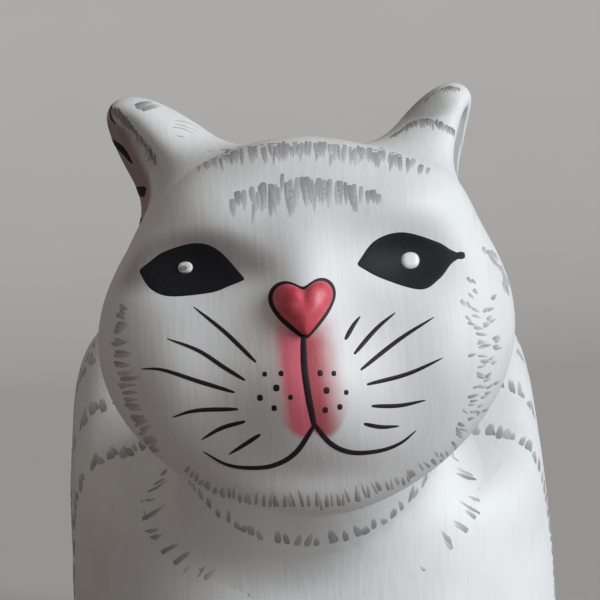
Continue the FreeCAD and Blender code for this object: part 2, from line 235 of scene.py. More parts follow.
def relief(x, z):
    """Height of the face over its plain dome: the sum of the bumps."""
    total = np.zeros(np.broadcast(x, z).shape)
    for rise, (cx, cz), (sx, sz), mirrored in RELIEF:
        for side in (1, -1) if mirrored else (1,):
            total += rise * bell(np.hypot((x - side * cx) / sx, (z - cz) / sz))
    return total


def face_front(x, z):
    """Depth y of the face over a point of its plane: dome (1 - s^n)^(1/n) plus the relief, where s is the share of
    the way to the outline."""
    share = np.minimum(1.0, np.hypot(x, z) / outline(np.arctan2(z, x)))
    dome = FACE_DEPTH * (1.0 - share**FACE_FLATNESS) ** (1.0 / FACE_FLATNESS)
    return -dome - relief(x, z) * (1.0 - share**6)


def head_surface(rows_front, rows_back, columns):
    """Rings from the nose out to the outline, then back over the skull; both ends stop a hair short of their pole,
    and the end fan closes them."""
    angle = np.linspace(0, 2 * np.pi, columns, endpoint=False)
    turn = np.linspace(0.02, 1.0, rows_front)[:, None] * np.pi / 2
    share = np.sin(turn) ** (2.0 / FACE_FLATNESS)
    x = share * outline(angle) * np.cos(angle)
    z = share * outline(angle) * np.sin(angle) + (1.0 - share) * NOSE_CENTRE
    face = np.stack([x, face_front(x, z), z], -1)
    turn = np.linspace(1.0, 0.01, rows_back + 1)[1:, None] * np.pi / 2
    share = np.sin(turn) ** (2.0 / SKULL_FLATNESS)
    depth = SKULL_DEPTH * np.cos(turn) ** (2.0 / SKULL_FLATNESS) + 0 * angle
    radius = share * outline(angle)
    skull = np.stack([radius * np.cos(angle), depth, radius * np.sin(angle)], -1)
    return np.concatenate([face, skull]) + HEAD_MIDDLE


# %% Carve the head
head_grid = head_surface(110, 80, 260)
head = carved("head_carving", "carving", ["head"], [head_grid])

# %% [markdown]
# ## Finding the carved surface again
#
# Ears and neck have to flow into the block that they grow from, and paint has to lie on the wood. For both we ask the
# same question: where on a finished piece is the nearest place to this point, and which way does the surface face
# there? Blender's Shrinkwrap modifier answers it for a whole cloud of points. We use it twice, once on the surface and
# once a millimetre above it, and the difference of the two answers is the surface's direction.

# %% Nearest place and direction on a piece
COVE_SINK = 0.12


def settle(points, target, lift):
    """Every point moved to its nearest place on the target, then lifted off it, in millimetres."""
    mesh = bpy.data.meshes.new("cloud")
    mesh.vertices.add(len(points))
    mesh.vertices.foreach_set("co", (points * MM).ravel())
    cloud = placed("cloud", mesh)
    wrap = cloud.modifiers.new("settle", "SHRINKWRAP")
    wrap.target = target
    wrap.wrap_mode = "ABOVE_SURFACE"
    wrap.offset = lift * MM
    settled = cloud.evaluated_get(bpy.context.evaluated_depsgraph_get())
    found = np.empty(len(points) * 3)
    settled.data.vertices.foreach_get("co", found)
    bpy.data.objects.remove(cloud)
    bpy.data.meshes.remove(mesh)
    return found.reshape(-1, 3) / MM


def surface_near(points, target):
    """The nearest places on the target, and the way that it faces there."""
    flat = points.reshape(-1, 3)
    low, high = settle(flat, target, 0.0), settle(flat, target, 1.0)
    facing = high - low
    facing /= np.linalg.norm(facing, axis=1, keepdims=True) + 1e-12
    return low.reshape(points.shape), facing.reshape(points.shape)


def cove(grid, target, reach):
    """Flows the root of a limb into the piece that it grows from, along a quarter circle of radius `reach`.

    A point at height d over the target, with d below the radius, turns through a = (1 - d / reach) x 90 degrees: it
    moves out from the limb's middle line by reach x (1 - cos a) and comes down to the height reach x (1 - sin a).
    The last of it, past 86 degrees, sinks in a little, so that no edge stands up."""
    outwards = grid - grid.mean(axis=1, keepdims=True)
    outwards /= np.linalg.norm(outwards, axis=-1, keepdims=True) + 1e-9
    near, facing = surface_near(grid, target)
    height = ((grid - near) * facing).sum(-1, keepdims=True)
    turn = np.clip(1.0 - height / reach, 0.0, 1.0) * np.pi / 2
    spread = grid + outwards * reach * (1.0 - np.cos(turn))
    near, facing = surface_near(spread, target)
    landed = near + facing * (reach * (1.0 - np.sin(turn)) - COVE_SINK * (turn > 1.5))
    return np.where(turn > 0, landed, grid)


# %% [markdown]
# ## The ears
#
# Each ear is whittled as a blunt cone and scooped out on the side that faces outwards, then glued into the skull,
# filled and sanded until no joint shows. Its rings are ovals that shrink towards the tip. The scoop pushes the outer
# part of each ring inwards and leaves thick rims beside it. How deep the scoop is at each point is kept as an
# attribute of the mesh, because the painted shade deep in the scoop of the ear on the viewer's right is placed by it.

# %% Shape of the ears
EAR_LENGTH = 28.2
EAR_DEPTH = 11.0
EAR_RAKE = np.radians(20.0)
EAR_WIDTH = 8.0
EAR_FLARE = 0.42
EAR_SCOOP = 0.70
EAR_SCOOP_ENDS = 0.35
EAR_COVE = 10.0
SANDING = 0.9
SANDING_ROUNDS = 12
EAR_SHAPE = {  # place round the outline, lean to the side, turn of the scoop, seat, thickness, bluntness
    1: (46.0, 26.0, 12.0, 0.80, 10.2, 2.0),
    -1: (55.0, 39.0, 44.0, 0.86, 12.4, 2.6),
}


def ear_axes(side):
    """Seat of the ear on the skull, its long axis, the way that its scoop faces, and the third axis."""
    clock, splay, turn = np.radians(EAR_SHAPE[side][:3])
    seat = EAR_SHAPE[side][3]
    radius = seat * float(outline(clock if side > 0 else np.pi - clock))
    base = np.array([side * radius * np.cos(clock), EAR_DEPTH, radius * np.sin(clock)]) + HEAD_MIDDLE
    level, climb = np.cos(EAR_RAKE), np.sin(EAR_RAKE)
    axis = np.array([side * np.sin(splay) * level, climb, np.cos(splay) * level])
    facing = np.array([side * np.cos(turn), -np.sin(turn), 0.0])
    outwards = facing - axis * facing.dot(axis)
    outwards /= np.linalg.norm(outwards)
    return base, axis, outwards, np.cross(axis, outwards)


def ear_point(side, share, angle):
    """Oval ring at a share of the ear's length: radius = taper x flare x (1 - scoop x window)."""
    base, axis, outwards, across = ear_axes(side)
    thickness, bluntness = EAR_SHAPE[side][4:]
    along = np.clip(share, 0.0, 1.0)
    taper = (1.0 - along**bluntness) ** 0.5
    flare = 1.0 + EAR_FLARE * (1.0 - along) ** 3
    window = ease(share / EAR_SCOOP_ENDS) * ease((1.02 - share) / EAR_SCOOP_ENDS)
    scoop = EAR_SCOOP * window * np.maximum(0.0, np.cos(angle)) ** 3
    radius = (taper * flare * (1.0 - scoop))[..., None]
    sideways = outwards * thickness * np.cos(angle)[..., None] + across * EAR_WIDTH * np.sin(angle)[..., None]
    return base + axis * (share * EAR_LENGTH)[..., None] + radius * sideways, scoop / EAR_SCOOP


# %% Sand and carve the ears


def sanded(grid, weight, times):
    """Each point drawn towards the mean of its four neighbours, as strongly as its weight says."""
    for _ in range(times):
        mean = (np.roll(grid, 1, axis=1) + np.roll(grid, -1, axis=1)) / 2
        mean[1:-1] = (mean[1:-1] + (grid[:-2] + grid[2:]) / 2) / 2
        grid = grid + (mean - grid) * weight
    return grid


def ear_surface(side, rows, columns):
    """Rings from inside the skull to the tip, closer together near the tip, coved and sanded at the root."""
    share = np.sin(np.linspace(-0.25, 1.0, rows) * np.pi / 2)
    share = np.minimum(share, 0.9995)
    share, angle = np.meshgrid(share, np.linspace(0, 2 * np.pi, columns, endpoint=False), indexing="ij")
    points, scoop = ear_point(side, share, angle)
    at_root = ease((share + 0.16) / 0.2) * ease((0.8 - share) / 0.3)
    return sanded(cove(points, head, EAR_COVE), SANDING * at_root[..., None], SANDING_ROUNDS), scoop


def keep_number(piece, name, values):
    """Stores one number for each point of a piece's mesh."""
    store = piece.data.attributes.new(name, "FLOAT", "POINT")
    full = np.zeros(len(piece.data.vertices))
    full[: values.size] = values.ravel()
    store.data.foreach_set("value", full)


ears, ear_grids = {}, {}
for side, label in ((1, "left"), (-1, "right")):
    ear_grids[side], scoop = ear_surface(side, 90, 120)
    ears[side] = carved(f"ear_{label}_carving", "carving", [f"ear_{label}"], [ear_grids[side]])
    keep_number(ears[side], "scoop", scoop)

# %% [markdown]
# ## The nose
#
# The nose is a small heart that stands proud of the muzzle, like a bead of filler pressed on and rounded with a wet
# finger. The rings of its grid are the same heart at growing sizes; the height over the face follows a pillow curve,
# with a soft crease running down from the notch.

# %% Shape of the nose
NOSE_WIDTH = 11.8
NOSE_HEIGHT = 10.6
NOSE_RISE = 3.0
NOSE_ROOT = 3.5
NOSE_ROUNDNESS = 2.4
CREASE_DEPTH = 0.5
RIGHT_LOBE, FLAT_TOP, LEAN = 0.93, 0.87, 0.05


def heart(angle):
    """A heart about one unit wide and one high, from sines and cosines of the angle and its multiples.

    The knife left it a little flat on top, and its lobe on the viewer's right narrower and higher."""
    x = (3.0 * np.sin(angle) - 0.5 * np.sin(3 * angle)) / 7.0
    x = x * np.where(x > 0, RIGHT_LOBE, 1.0)
    lobes = 13.0 * np.cos(angle) - 4.0 * np.cos(2 * angle)
    notch = -1.5 * np.cos(3 * angle) - 0.6 * np.cos(4 * angle)
    z = (lobes + notch + 2.6) / 27.0
    return x, z * np.where(z > 0, FLAT_TOP, 1.0) + LEAN * x


def nose_surface(rows, columns):
    """Pillow height = rise x (1 - s^2.4)^(1/2.4) over the face, less a crease; then a wall down into the face."""
    angle = np.linspace(0, 2 * np.pi, columns, endpoint=False)
    share = np.sin(np.linspace(0.02, 1.0, rows)[:, None] * np.pi / 2)
    x, z = heart(angle)
    x, z = share * x * NOSE_WIDTH, share * z * NOSE_HEIGHT
    pillow = NOSE_RISE * (1.0 - share**NOSE_ROUNDNESS) ** (1 / NOSE_ROUNDNESS)
    crease = CREASE_DEPTH * bell(x / 1.2) * ease((z + 2.0) / 4.0) * (1.0 - share**4)
    front = face_front(x, z + NOSE_CENTRE) - pillow + crease
    wall = np.stack([x[-1], front[-1] + NOSE_ROOT, z[-1] + NOSE_CENTRE], -1)
    grid = np.stack([x, front, z + NOSE_CENTRE], -1)
    rim = np.concatenate([share + 0 * angle, np.ones((1, columns))])
    return np.concatenate([grid, wall[None]]) + HEAD_MIDDLE, rim


nose_grid, rim = nose_surface(28, 120)
nose = carved("nose_carving", "carving", ["nose"], [nose_grid])
keep_number(nose, "rim", rim)

# %% [markdown]
# ## The body and the neck
#
# The body is a long loaf on its belly: squared rings whose size closes towards both ends, a back that sinks to the
# shoulders, and soft swellings for shoulders, haunches and rump. The neck is a straight tapering round that is
# carved from the same log, so its root flows into the shoulders.

# %% Shape of the body
TORSO_LENGTH = 190.0
TORSO_WIDTH = 114.0
AXIS_HEIGHT = 40.0
SHOULDER_TOP = 68.0
BACK_TOP = 103.0
RUMP_TOP = 92.0
UNDERSIDE = 5.0
END_SQUARENESS = 3.2
SECTION_SQUARENESS = 6.5
CORNER_CROWDING = 0.20
SHOULDER_SLOPE_FROM, SHOULDER_SLOPE = 25.0, TORSO_LENGTH / 2 + 10.0
RUMP_SLOPE_FROM, RUMP_SLOPE = 20.0, TORSO_LENGTH / 2
MUSCLES = [  # swelling, place along the body, height, spread along, spread up
    (4.0, 32.0, 62.0, 52.0, 50.0),
    (6.0, 44.0, 36.0, 31.0, 36.0),
    (2.5, -62.0, 34.0, 20.0, 24.0),
    (-3.0, -14.0, 28.0, 24.0, 30.0),
]


def signed_power(value, power):
    """The value's size to a power, with its sign kept."""
    return np.sign(value) * np.abs(value) ** power


def torso_top(along):
    """Height of the back: level in the middle, easing down to the shoulders and to the rump."""
    to_shoulder = ease((SHOULDER_SLOPE_FROM - along) / SHOULDER_SLOPE)
    to_rump = ease((along - RUMP_SLOPE_FROM) / RUMP_SLOPE)
    return BACK_TOP + (SHOULDER_TOP - BACK_TOP) * to_shoulder + (RUMP_TOP - BACK_TOP) * to_rump


def torso_surface(rows, columns):
    """Rings (|cos a|^p, |sin a|^p) x half width and height, x closing = (1 - |s|^n)^(1/n), plus the muscles. The
    columns crowd together by a share of sin 4a where the section turns its corners."""
    turn = np.linspace(-1, 1, rows) * np.pi / 2
    share = np.sign(turn) * np.abs(np.sin(turn)) ** (2.0 / END_SQUARENESS)
    closing = np.maximum(0.02, (1.0 - np.abs(share) ** END_SQUARENESS) ** (1.0 / END_SQUARENESS))[:, None]
    along = (share * TORSO_LENGTH / 2)[:, None]
    angle = np.linspace(0, 2 * np.pi, columns, endpoint=False)
    power = 2.0 / SECTION_SQUARENESS
    angle = angle - CORNER_CROWDING * np.sin(4 * angle)
    across, up = np.cos(angle), np.sin(angle)
    x = TORSO_WIDTH / 2 * closing * signed_power(across, power)
    rise = np.where(up > 0, torso_top(along) - AXIS_HEIGHT, AXIS_HEIGHT + UNDERSIDE)
    z = AXIS_HEIGHT + rise * closing * signed_power(up, power)
    side = closing * np.abs(across) ** power
    for swell, place, height, spread_along, spread_up in MUSCLES:
        x = x + np.sign(across) * side * swell * bell((along - place) / spread_along) * bell((z - height) / spread_up)
    return np.stack([x, along + 0 * angle, np.maximum(z, 0.0)], -1)


# %% Shape of the neck, and the two joined
NECK_RADIUS = 28.0
NECK_ROOT_RADIUS = 31.0
NECK_ROOT = np.array([0.0, -46.0, 53.0])
NECK_COVE = 10.0
NAPE = HEAD_MIDDLE + np.array([0.0, SKULL_DEPTH * 0.72, -HALF_HEIGHT * 0.5])
NECK_IN_HEAD = 12.0


def neck_surface(rows, columns):
    """Circles that taper along a straight axis from inside the body to inside the back of the head."""
    along = HEAD_MIDDLE - NECK_ROOT
    along /= np.linalg.norm(along)
    end = NECK_ROOT + along * ((NAPE - NECK_ROOT).dot(along) + NECK_IN_HEAD)
    share = np.linspace(0, 1, rows)[:, None, None]
    angle = np.linspace(0, 2 * np.pi, columns, endpoint=False)[None, :, None]
    up = np.cross(np.array([1.0, 0.0, 0.0]), along)
    radius = NECK_ROOT_RADIUS + (NECK_RADIUS - NECK_ROOT_RADIUS) * share
    ring = np.array([1.0, 0.0, 0.0]) * np.cos(angle) + up * np.sin(angle)
    return NECK_ROOT + (end - NECK_ROOT) * share + radius * ring


torso_grid = torso_surface(150, 240)
torso_block = block("torso_block", [torso_grid])
neck_grid = cove(neck_surface(90, 140), torso_block, NECK_COVE)
bpy.data.objects.remove(torso_block)
torso = carved("torso_carving", "carving", ["torso"], [torso_grid, neck_grid])

# %% [markdown]
# ## Legs and paws
#
# Two forelegs lie stretched out under the chin, and a hind paw shows at each side of the haunches. Each is one form
# that starts inside the body and ends in a rounded paw. The toes are told apart by grooves: the skin is pushed in
# along lines that run over the front of the paw.

# %% Shape of the legs
FORELEG = dict(half=13.0, paw=14.5, high=31.0, paw_high=20.0, side=30.0, toe_in=4.0, front=134.0, rear=62.0)
HIND_PAW = dict(half=11.5, paw=12.5, high=17.0, paw_high=15.0, side=46.0, toe_in=-10.0, front=24.0, rear=-34.0)
LEG_COVE = 3.0
LEG_ROUNDNESS = 0.8
GROOVE_WIDTH = 2.4
GROOVE_DEPTH = 1.35
GROOVE_LENGTH = 13.0
TOES = 4
TOES_ACROSS = 0.86


def grid_facing(grid):
    """Which way a closed grid faces: the cross product of its two directions, turned to point away from the middle."""
    down = np.gradient(grid, axis=0)
    around = (np.roll(grid, -1, axis=1) - np.roll(grid, 1, axis=1)) / 2
    facing = np.cross(down, around)
    facing /= np.linalg.norm(facing, axis=-1, keepdims=True) + 1e-9
    outwards = np.sign((facing * (grid - grid.mean(axis=1, keepdims=True))).sum())
    return facing * outwards


def leg_surface(size, side, rows, columns):
    """Flattened rings from the rear end to the toes, closing as (1 - s^7)^0.42, with toe grooves pressed in."""
    share = np.sin(np.linspace(0, 1, rows) * np.pi / 2)[:, None] ** 0.6
    share = np.minimum(share, 0.9999)
    angle = np.linspace(0, 2 * np.pi, columns, endpoint=False)[None, :]
    y = -(size["rear"] + (size["front"] - size["rear"]) * share) + 0 * angle
    closing = (1.0 - share**7) ** 0.42
    width = (size["half"] + (size["paw"] - size["half"]) * ease((share - 0.45) / 0.35)) * closing
    middle = min(size["high"], size["paw_high"]) * 0.4
    top = size["high"] + (size["paw_high"] - size["high"]) * ease(share / 0.8) - middle
    up = signed_power(np.sin(angle), LEG_ROUNDNESS)
    rise = np.where(up > 0, top, middle + UNDERSIDE) * closing
    x = side * (size["side"] - size["toe_in"] * share) + width * signed_power(np.cos(angle), LEG_ROUNDNESS)
    grid = np.stack([x, y, middle + rise * up], -1)
    first = side * (size["side"] - size["toe_in"])
    spacing = 2.0 * size["paw"] * TOES_ACROSS / TOES
    pressed = sum(bell((grid[..., 0] - first - k * spacing) / (GROOVE_WIDTH / 2)) for k in (-1, 0, 1))
    near_toes = ease((-grid[..., 1] - size["front"] + GROOVE_LENGTH) / 6.0) * ease((grid[..., 2] + 2.0) / 5.0)
    grid = grid - grid_facing(grid) * (GROOVE_DEPTH * pressed * near_toes)[..., None]
    grid[..., 2] = np.maximum(grid[..., 2], 0.0)
    return grid


# %% Carve the four legs
legs, leg_grids = {}, {}
for name, size in (("foreleg", FORELEG), ("hind_paw", HIND_PAW)):
    for side, label in ((1, "left"), (-1, "right")):
        leg_grids[name, side] = cove(leg_surface(size, side, 130, 160), torso, LEG_COVE)
        legs[name, side] = carved(
            f"{name}_{label}_carving", "carving", [f"{name}_{label}"], [leg_grids[name, side]]
        )

# %% [markdown]
# ## The tail
#
# The tail is the one loose piece: it ends in a round peg that pulls straight out of its socket in the rump. We step
# along its middle line, turning the heading a little at each step, and carry a shrinking circle along it.

# %% Shape of the tail
TAIL_LENGTH = 118.0
TAIL_ROOT_RADIUS = 10.0
TAIL_TIP_RADIUS = 6.0
TAIL_CLIMB = np.radians(74.0)
TAIL_CURL = np.radians(125.0)
TAIL_SEAT_HEIGHT = 65.0
TAIL_SEAT_DEPTH = 2.0
TAIL_SEAT_GAP = 0.3
TAIL_CLIMB_ENDS, TAIL_CURL_STARTS = 0.5, 0.45


def tail_seat():
    """Place and direction of the socket: square to the end of the body at the seat's height."""
    top = float(torso_top(np.array(TORSO_LENGTH / 2)))
    closing = (TAIL_SEAT_HEIGHT - AXIS_HEIGHT) / (top - AXIS_HEIGHT)
    share = (1.0 - closing**END_SQUARENESS) ** (1.0 / END_SQUARENESS)
    slope = (closing / share) ** (END_SQUARENESS - 1.0) * TORSO_LENGTH / 2 / (top - AXIS_HEIGHT)
    axis = np.array([0.0, 1.0, slope]) / np.hypot(1.0, slope)
    return np.array([0.0, TORSO_LENGTH / 2 * share, TAIL_SEAT_HEIGHT]) - axis * TAIL_SEAT_DEPTH, axis


def tail_surface(rows, columns):
    """Circles on a line whose heading first climbs and then curls back; the radius closes at the tip."""
    seat, axis = tail_seat()
    steps = 8 * (rows - 1)
    share = np.linspace(0, 1, steps + 1)
    curled = ease((share - TAIL_CURL_STARTS) / (1.0 - TAIL_CURL_STARTS))
    climb = TAIL_CLIMB * ease(share / TAIL_CLIMB_ENDS) - TAIL_CURL * curled
    heading = np.arctan2(axis[2], axis[1]) + climb
    forward = np.stack([0 * heading, np.cos(heading), np.sin(heading)], -1)
    walked = np.cumsum(forward, axis=0) - forward
    line = seat + axis * TAIL_SEAT_GAP + walked * TAIL_LENGTH / steps
    pick = np.round(np.sin(np.linspace(0, 1, rows) * np.pi / 2) ** 1.2 * steps).astype(int)
    share, line, heading = share[pick], line[pick], heading[pick]
    radius = (TAIL_ROOT_RADIUS + (TAIL_TIP_RADIUS - TAIL_ROOT_RADIUS) * share) * (1.0001 - share**9) ** 0.5
    up = np.stack([0 * heading, -np.sin(heading), np.cos(heading)], -1)
    angle = np.linspace(0, 2 * np.pi, columns, endpoint=False)[None, :, None]
    ring = np.array([1.0, 0.0, 0.0]) * np.cos(angle) + up[:, None] * np.sin(angle)
    return line[:, None] + radius[:, None, None] * ring


tail_grid = tail_surface(110, 90)
tail = carved("tail_carving", "tail", ["tail"], [tail_grid])

# %% [markdown]
# The rump is faced flat where the tail stands and bored for its peg. Both are one turned shape, rings of two radii
# along the tail's axis. A Boolean modifier takes it out of the plain loaf, and the neck is added to the result again.

# %% Seat of the tail
SEAT_RADIUS = TAIL_ROOT_RADIUS + 1.0
SEAT_REACH = 30.0
SOCKET_RADIUS = 4.5 + 0.05  # the peg's and its clearance
SOCKET_DEPTH = 22.0 + 1.5  # the peg's and the room below it


def turned_shape(place, axis, profile, columns=96):
    """Rings round an axis from pairs (way along the axis, radius)."""
    angle = np.linspace(0, 2 * np.pi, columns, endpoint=False)[None, :, None]
    first = np.array([1.0, 0.0, 0.0])
    second = np.cross(axis, first)
    way, radius = np.array(profile, float).T[:, :, None, None]
    return place + axis * way + radius * (first * np.cos(angle) + second * np.sin(angle))


seat, axis = tail_seat()
profile = [(SEAT_REACH, SEAT_RADIUS), (0, SEAT_RADIUS), (0, SOCKET_RADIUS), (-SOCKET_DEPTH, SOCKET_RADIUS)]
cutter = block("seat_cutter", [turned_shape(seat, axis, profile)])
loaf, neck = block("loaf", [torso_grid]), block("neck", [neck_grid])
cut = loaf.modifiers.new("seat", "BOOLEAN")
cut.operation, cut.solver, cut.object = "DIFFERENCE", "EXACT", cutter
faced = bpy.data.meshes.new_from_object(loaf.evaluated_get(bpy.context.evaluated_depsgraph_get()))
joined = bmesh.new()
for part in (faced, neck.data):
    joined.from_mesh(part)
joined.to_mesh(torso.data)
joined.free()
torso.data.shade_smooth()
torso.data.set_sharp_from_angle(angle=SHARP_EDGE)
for helper in (cutter, loaf, neck):
    bpy.data.objects.remove(helper)
print("the body has", len(torso.data.polygons), "faces with its seat")

# %% [markdown]
# ## Paint that lies on the wood
#
# Every brush stroke on the real cat has a little body: it stands a few hundredths of a millimetre proud and ends in a
# soft edge. So we make each stroke as its own thin closed skin. A stroke starts as a small grid of points near the
# surface, is settled onto the carving, pushed out in its middle and sunk in along its border. Each point remembers
# where it lies in its stroke, along, across, and a number that is the stroke's own, so that the paint can run dry
# towards the end in its own way.

# %% Faces of a skin of paint
BORDER_DIP = 0.05
SKIN_DEPTH = 0.2


def stroke_faces(rows, columns):
    """Faces of one closed skin: the top grid, the bottom grid turned over, and the wall between their borders."""
    top = np.arange(rows * columns).reshape(rows, columns)
    low = top + rows * columns
    a, b, c, d = top[:-1, :-1], top[:-1, 1:], top[1:, 1:], top[1:, :-1]
    lid = np.stack([a, b, c, d], -1).reshape(-1, 4)
    base = np.stack([a, d, c, b], -1).reshape(-1, 4) + rows * columns
    walls = [
        np.stack([top[0, 1:], top[0, :-1], low[0, :-1], low[0, 1:]], -1),
        np.stack([top[-1, :-1], top[-1, 1:], low[-1, 1:], low[-1, :-1]], -1),
        np.stack([top[1:, -1], top[:-1, -1], low[:-1, -1], low[1:, -1]], -1),
        np.stack([top[:-1, 0], top[1:, 0], low[1:, 0], low[:-1, 0]], -1),
    ]
    return np.concatenate([lid, base, *walls])


# %% Lay skins of paint on a piece


def keep_places(piece, strokes, u, v):
    """Stores (along, across, the stroke's own number) for each point, the same for the top and the base of a skin."""
    own = np.random.default_rng(strokes).random(strokes)[:, None, None]
    place = np.stack(np.broadcast_arrays(u[None], v[None], own), -1)
    store = piece.data.attributes.new("stroke", "FLOAT_VECTOR", "POINT")
    store.data.foreach_set("vector", np.repeat(place[:, None], 2, axis=1).ravel())


def film(name, body, grids, target, crown=0.06, lift=0.0):
    """Closed skins over grids (strokes, rows, columns, 3): height = lift + crown x pillow, where the pillow is
    sqrt((1 - (2u - 1)^4) x (1 - v^4)) and the border dips below the surface."""
    strokes, rows, columns = grids.shape[:3]
    near, facing = surface_near(grids, target)
    along, across = np.gradient(near, axis=1), np.gradient(near, axis=2)
    wrong = (np.cross(across, along) * facing).sum((1, 2, 3)) < 0
    near[wrong], facing[wrong] = near[wrong][:, :, ::-1], facing[wrong][:, :, ::-1]
    u, v = np.linspace(0, 1, rows)[:, None], np.linspace(-1, 1, columns)[None, :]
    pillow = np.sqrt((1.0 - (2 * u - 1) ** 4) * (1.0 - v**4))[None, :, :, None]
    top = near + facing * (lift - BORDER_DIP + (crown + BORDER_DIP) * pillow)
    points = np.stack([top.reshape(strokes, -1, 3), (near - facing * SKIN_DEPTH).reshape(strokes, -1, 3)], 1)
    faces = stroke_faces(rows, columns)[None] + (np.arange(strokes) * 2 * rows * columns)[:, None, None]
    piece = placed(name, fill_mesh(name, points.reshape(-1, 3), faces))
    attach(piece, body)
    keep_places(piece, strokes, u, v)
    print(name, "has", strokes, "strokes and", len(piece.data.polygons), "faces")
    return piece


# %% [markdown]
# Most marks are drawn on the face's flat plane: a smooth path through a few points, a width that swells and tapers
# along it, and the height of the face under each point. Dots and drops are discs. A fur dash is the shortest path of
# all, rounded where the brush lands and pointed where it leaves.

# %% Paths and places on the face
BACK_SLOPE = 1.2


def smooth_path(points, count):
    """Even steps along a Catmull-Rom curve through a few points: cubics that share their slopes at the points."""
    points = np.asarray(points, float)
    padded = np.concatenate([2 * points[:1] - points[1:2], points, 2 * points[-1:] - points[-2:-1]])
    t = np.linspace(0, len(points) - 1, 12 * count)
    k = np.minimum(t.astype(int), len(points) - 2)
    s = (t - k)[:, None]
    a, b, c, d = padded[k], padded[k + 1], padded[k + 2], padded[k + 3]
    curve = 0.5 * (2 * b + (c - a) * s + (2 * a - 5 * b + 4 * c - d) * s**2 + (3 * b - a - 3 * c + d) * s**3)
    walked = np.concatenate([[0], np.cumsum(np.linalg.norm(np.diff(curve, axis=0), axis=1))])
    steps = np.linspace(0, walked[-1], count)
    return np.stack([np.interp(steps, walked, curve[:, k]) for k in range(curve.shape[1])], -1)


def on_face(x, z):
    """Points over the face's plane lifted to the face; past the outline they run back over the skull."""
    over = np.hypot(x, z) - outline(np.arctan2(z, x))
    y = np.where(over < 0, face_front(x, z), BACK_SLOPE * over)
    return np.stack([x, y, z], -1) + HEAD_MIDDLE


# %% Lines, discs and almonds


def line_stroke(points, width, start=0.35, finish=0.35, rows=40, columns=6):
    """A brushed line: half width x t^start x (1 - t)^finish, scaled to full width where it is widest."""
    path = smooth_path(points, rows)
    t = np.linspace(0.004, 0.996, rows)
    swell = t**start * (1 - t) ** finish
    half = (width / 2 * swell / swell.max())[:, None]
    heading = np.gradient(path, axis=0)
    heading /= np.linalg.norm(heading, axis=1, keepdims=True)
    across = np.linspace(-1, 1, columns)[None]
    return on_face(path[:, :1] - heading[:, 1:] * half * across, path[:, 1:] + heading[:, :1] * half * across)


def disc(x, z, width, height, steps=9):
    """A square grid pressed into an oval: x = u sqrt(1 - v^2 / 2), z = v sqrt(1 - u^2 / 2)."""
    u, v = np.meshgrid(np.linspace(-1, 1, steps), np.linspace(-1, 1, steps), indexing="ij")
    return on_face(x + width / 2 * u * np.sqrt(1 - v**2 / 2), z + height / 2 * v * np.sqrt(1 - u**2 / 2))


def between_lids(upper, lower, rows=60, columns=24):
    """An almond between two lids: straight lines from one smooth path to the other."""
    top, bottom = smooth_path(upper, rows)[:, None], smooth_path(lower, rows)[:, None]
    blend = np.linspace(0, 1, columns)[None, :, None]
    flat = bottom + (top - bottom) * blend
    return on_face(flat[..., 0], flat[..., 1])


# %% [markdown]
# No two dashes of fur are alike. Each takes its place, heading, length and width from a seeded random generator, so
# that the rows look painted by hand and still come out the same on every run.

# %% Dashes of fur
UNEVEN_LENGTH = (0.75, 1.2)
UNEVEN_WIDTH = (0.7, 1.3)
UNEVEN_HEADING = 7.0


def fur_dashes(length, width, bend, rows=7, columns=4):
    """Short marks: half width x 1.75 t^0.4 (1 - t)^0.75 along the heading, with a sideways bend x t squared."""
    t = np.linspace(0.02, 0.98, rows)[None, :, None]
    across = np.linspace(-1, 1, columns)[None, None, :]
    half = (width[:, None, None] / 2) * 1.75 * t**0.4 * (1 - t) ** 0.75
    sideways = half * across + bend[:, None, None] * t**2
    return t * length[:, None, None] + 0 * across, sideways


def turned_dashes(forward, sideways, angle):
    """The two flat coordinates of dashes turned to their headings."""
    c, s = np.cos(angle)[:, None, None], np.sin(angle)[:, None, None]
    return forward * c - sideways * s, forward * s + sideways * c


def face_fur(path, count, lean, length, width, seed, spread):
    """Dashes spaced along a path on the face; `lean` is their heading in degrees at even steps of the path."""
    rng = np.random.default_rng(seed)
    root = smooth_path(path, count) + rng.normal(0, 0.25 + spread, (count, 2))
    t = np.linspace(0, 1, count)
    angle = np.radians(np.interp(t, np.linspace(0, 1, len(lean)), lean) + rng.normal(0, UNEVEN_HEADING, count))
    size = np.interp(t, np.linspace(0, 1, len(length)), length) * rng.uniform(*UNEVEN_LENGTH, count)
    forward, sideways = fur_dashes(size, width * rng.uniform(*UNEVEN_WIDTH, count), rng.normal(0, 0.25, count))
    x, z = turned_dashes(forward, sideways, angle)
    return on_face(root[:, 0, None, None] + x, root[:, 1, None, None] + z)


# %% [markdown]
# ## The face
#
# Two black almond eyes with a raised drop of white in each, a heavy line from the nose to the mouth, two curves that
# lift like a smile, six whiskers and six dots on each cheek. The values are places on the face in millimetres from
# its middle, to the viewer's right and up, as a painter would pencil them in.

# %% Eyes
face_block = block("face_block", [head_grid, *ear_grids.values(), nose_grid])

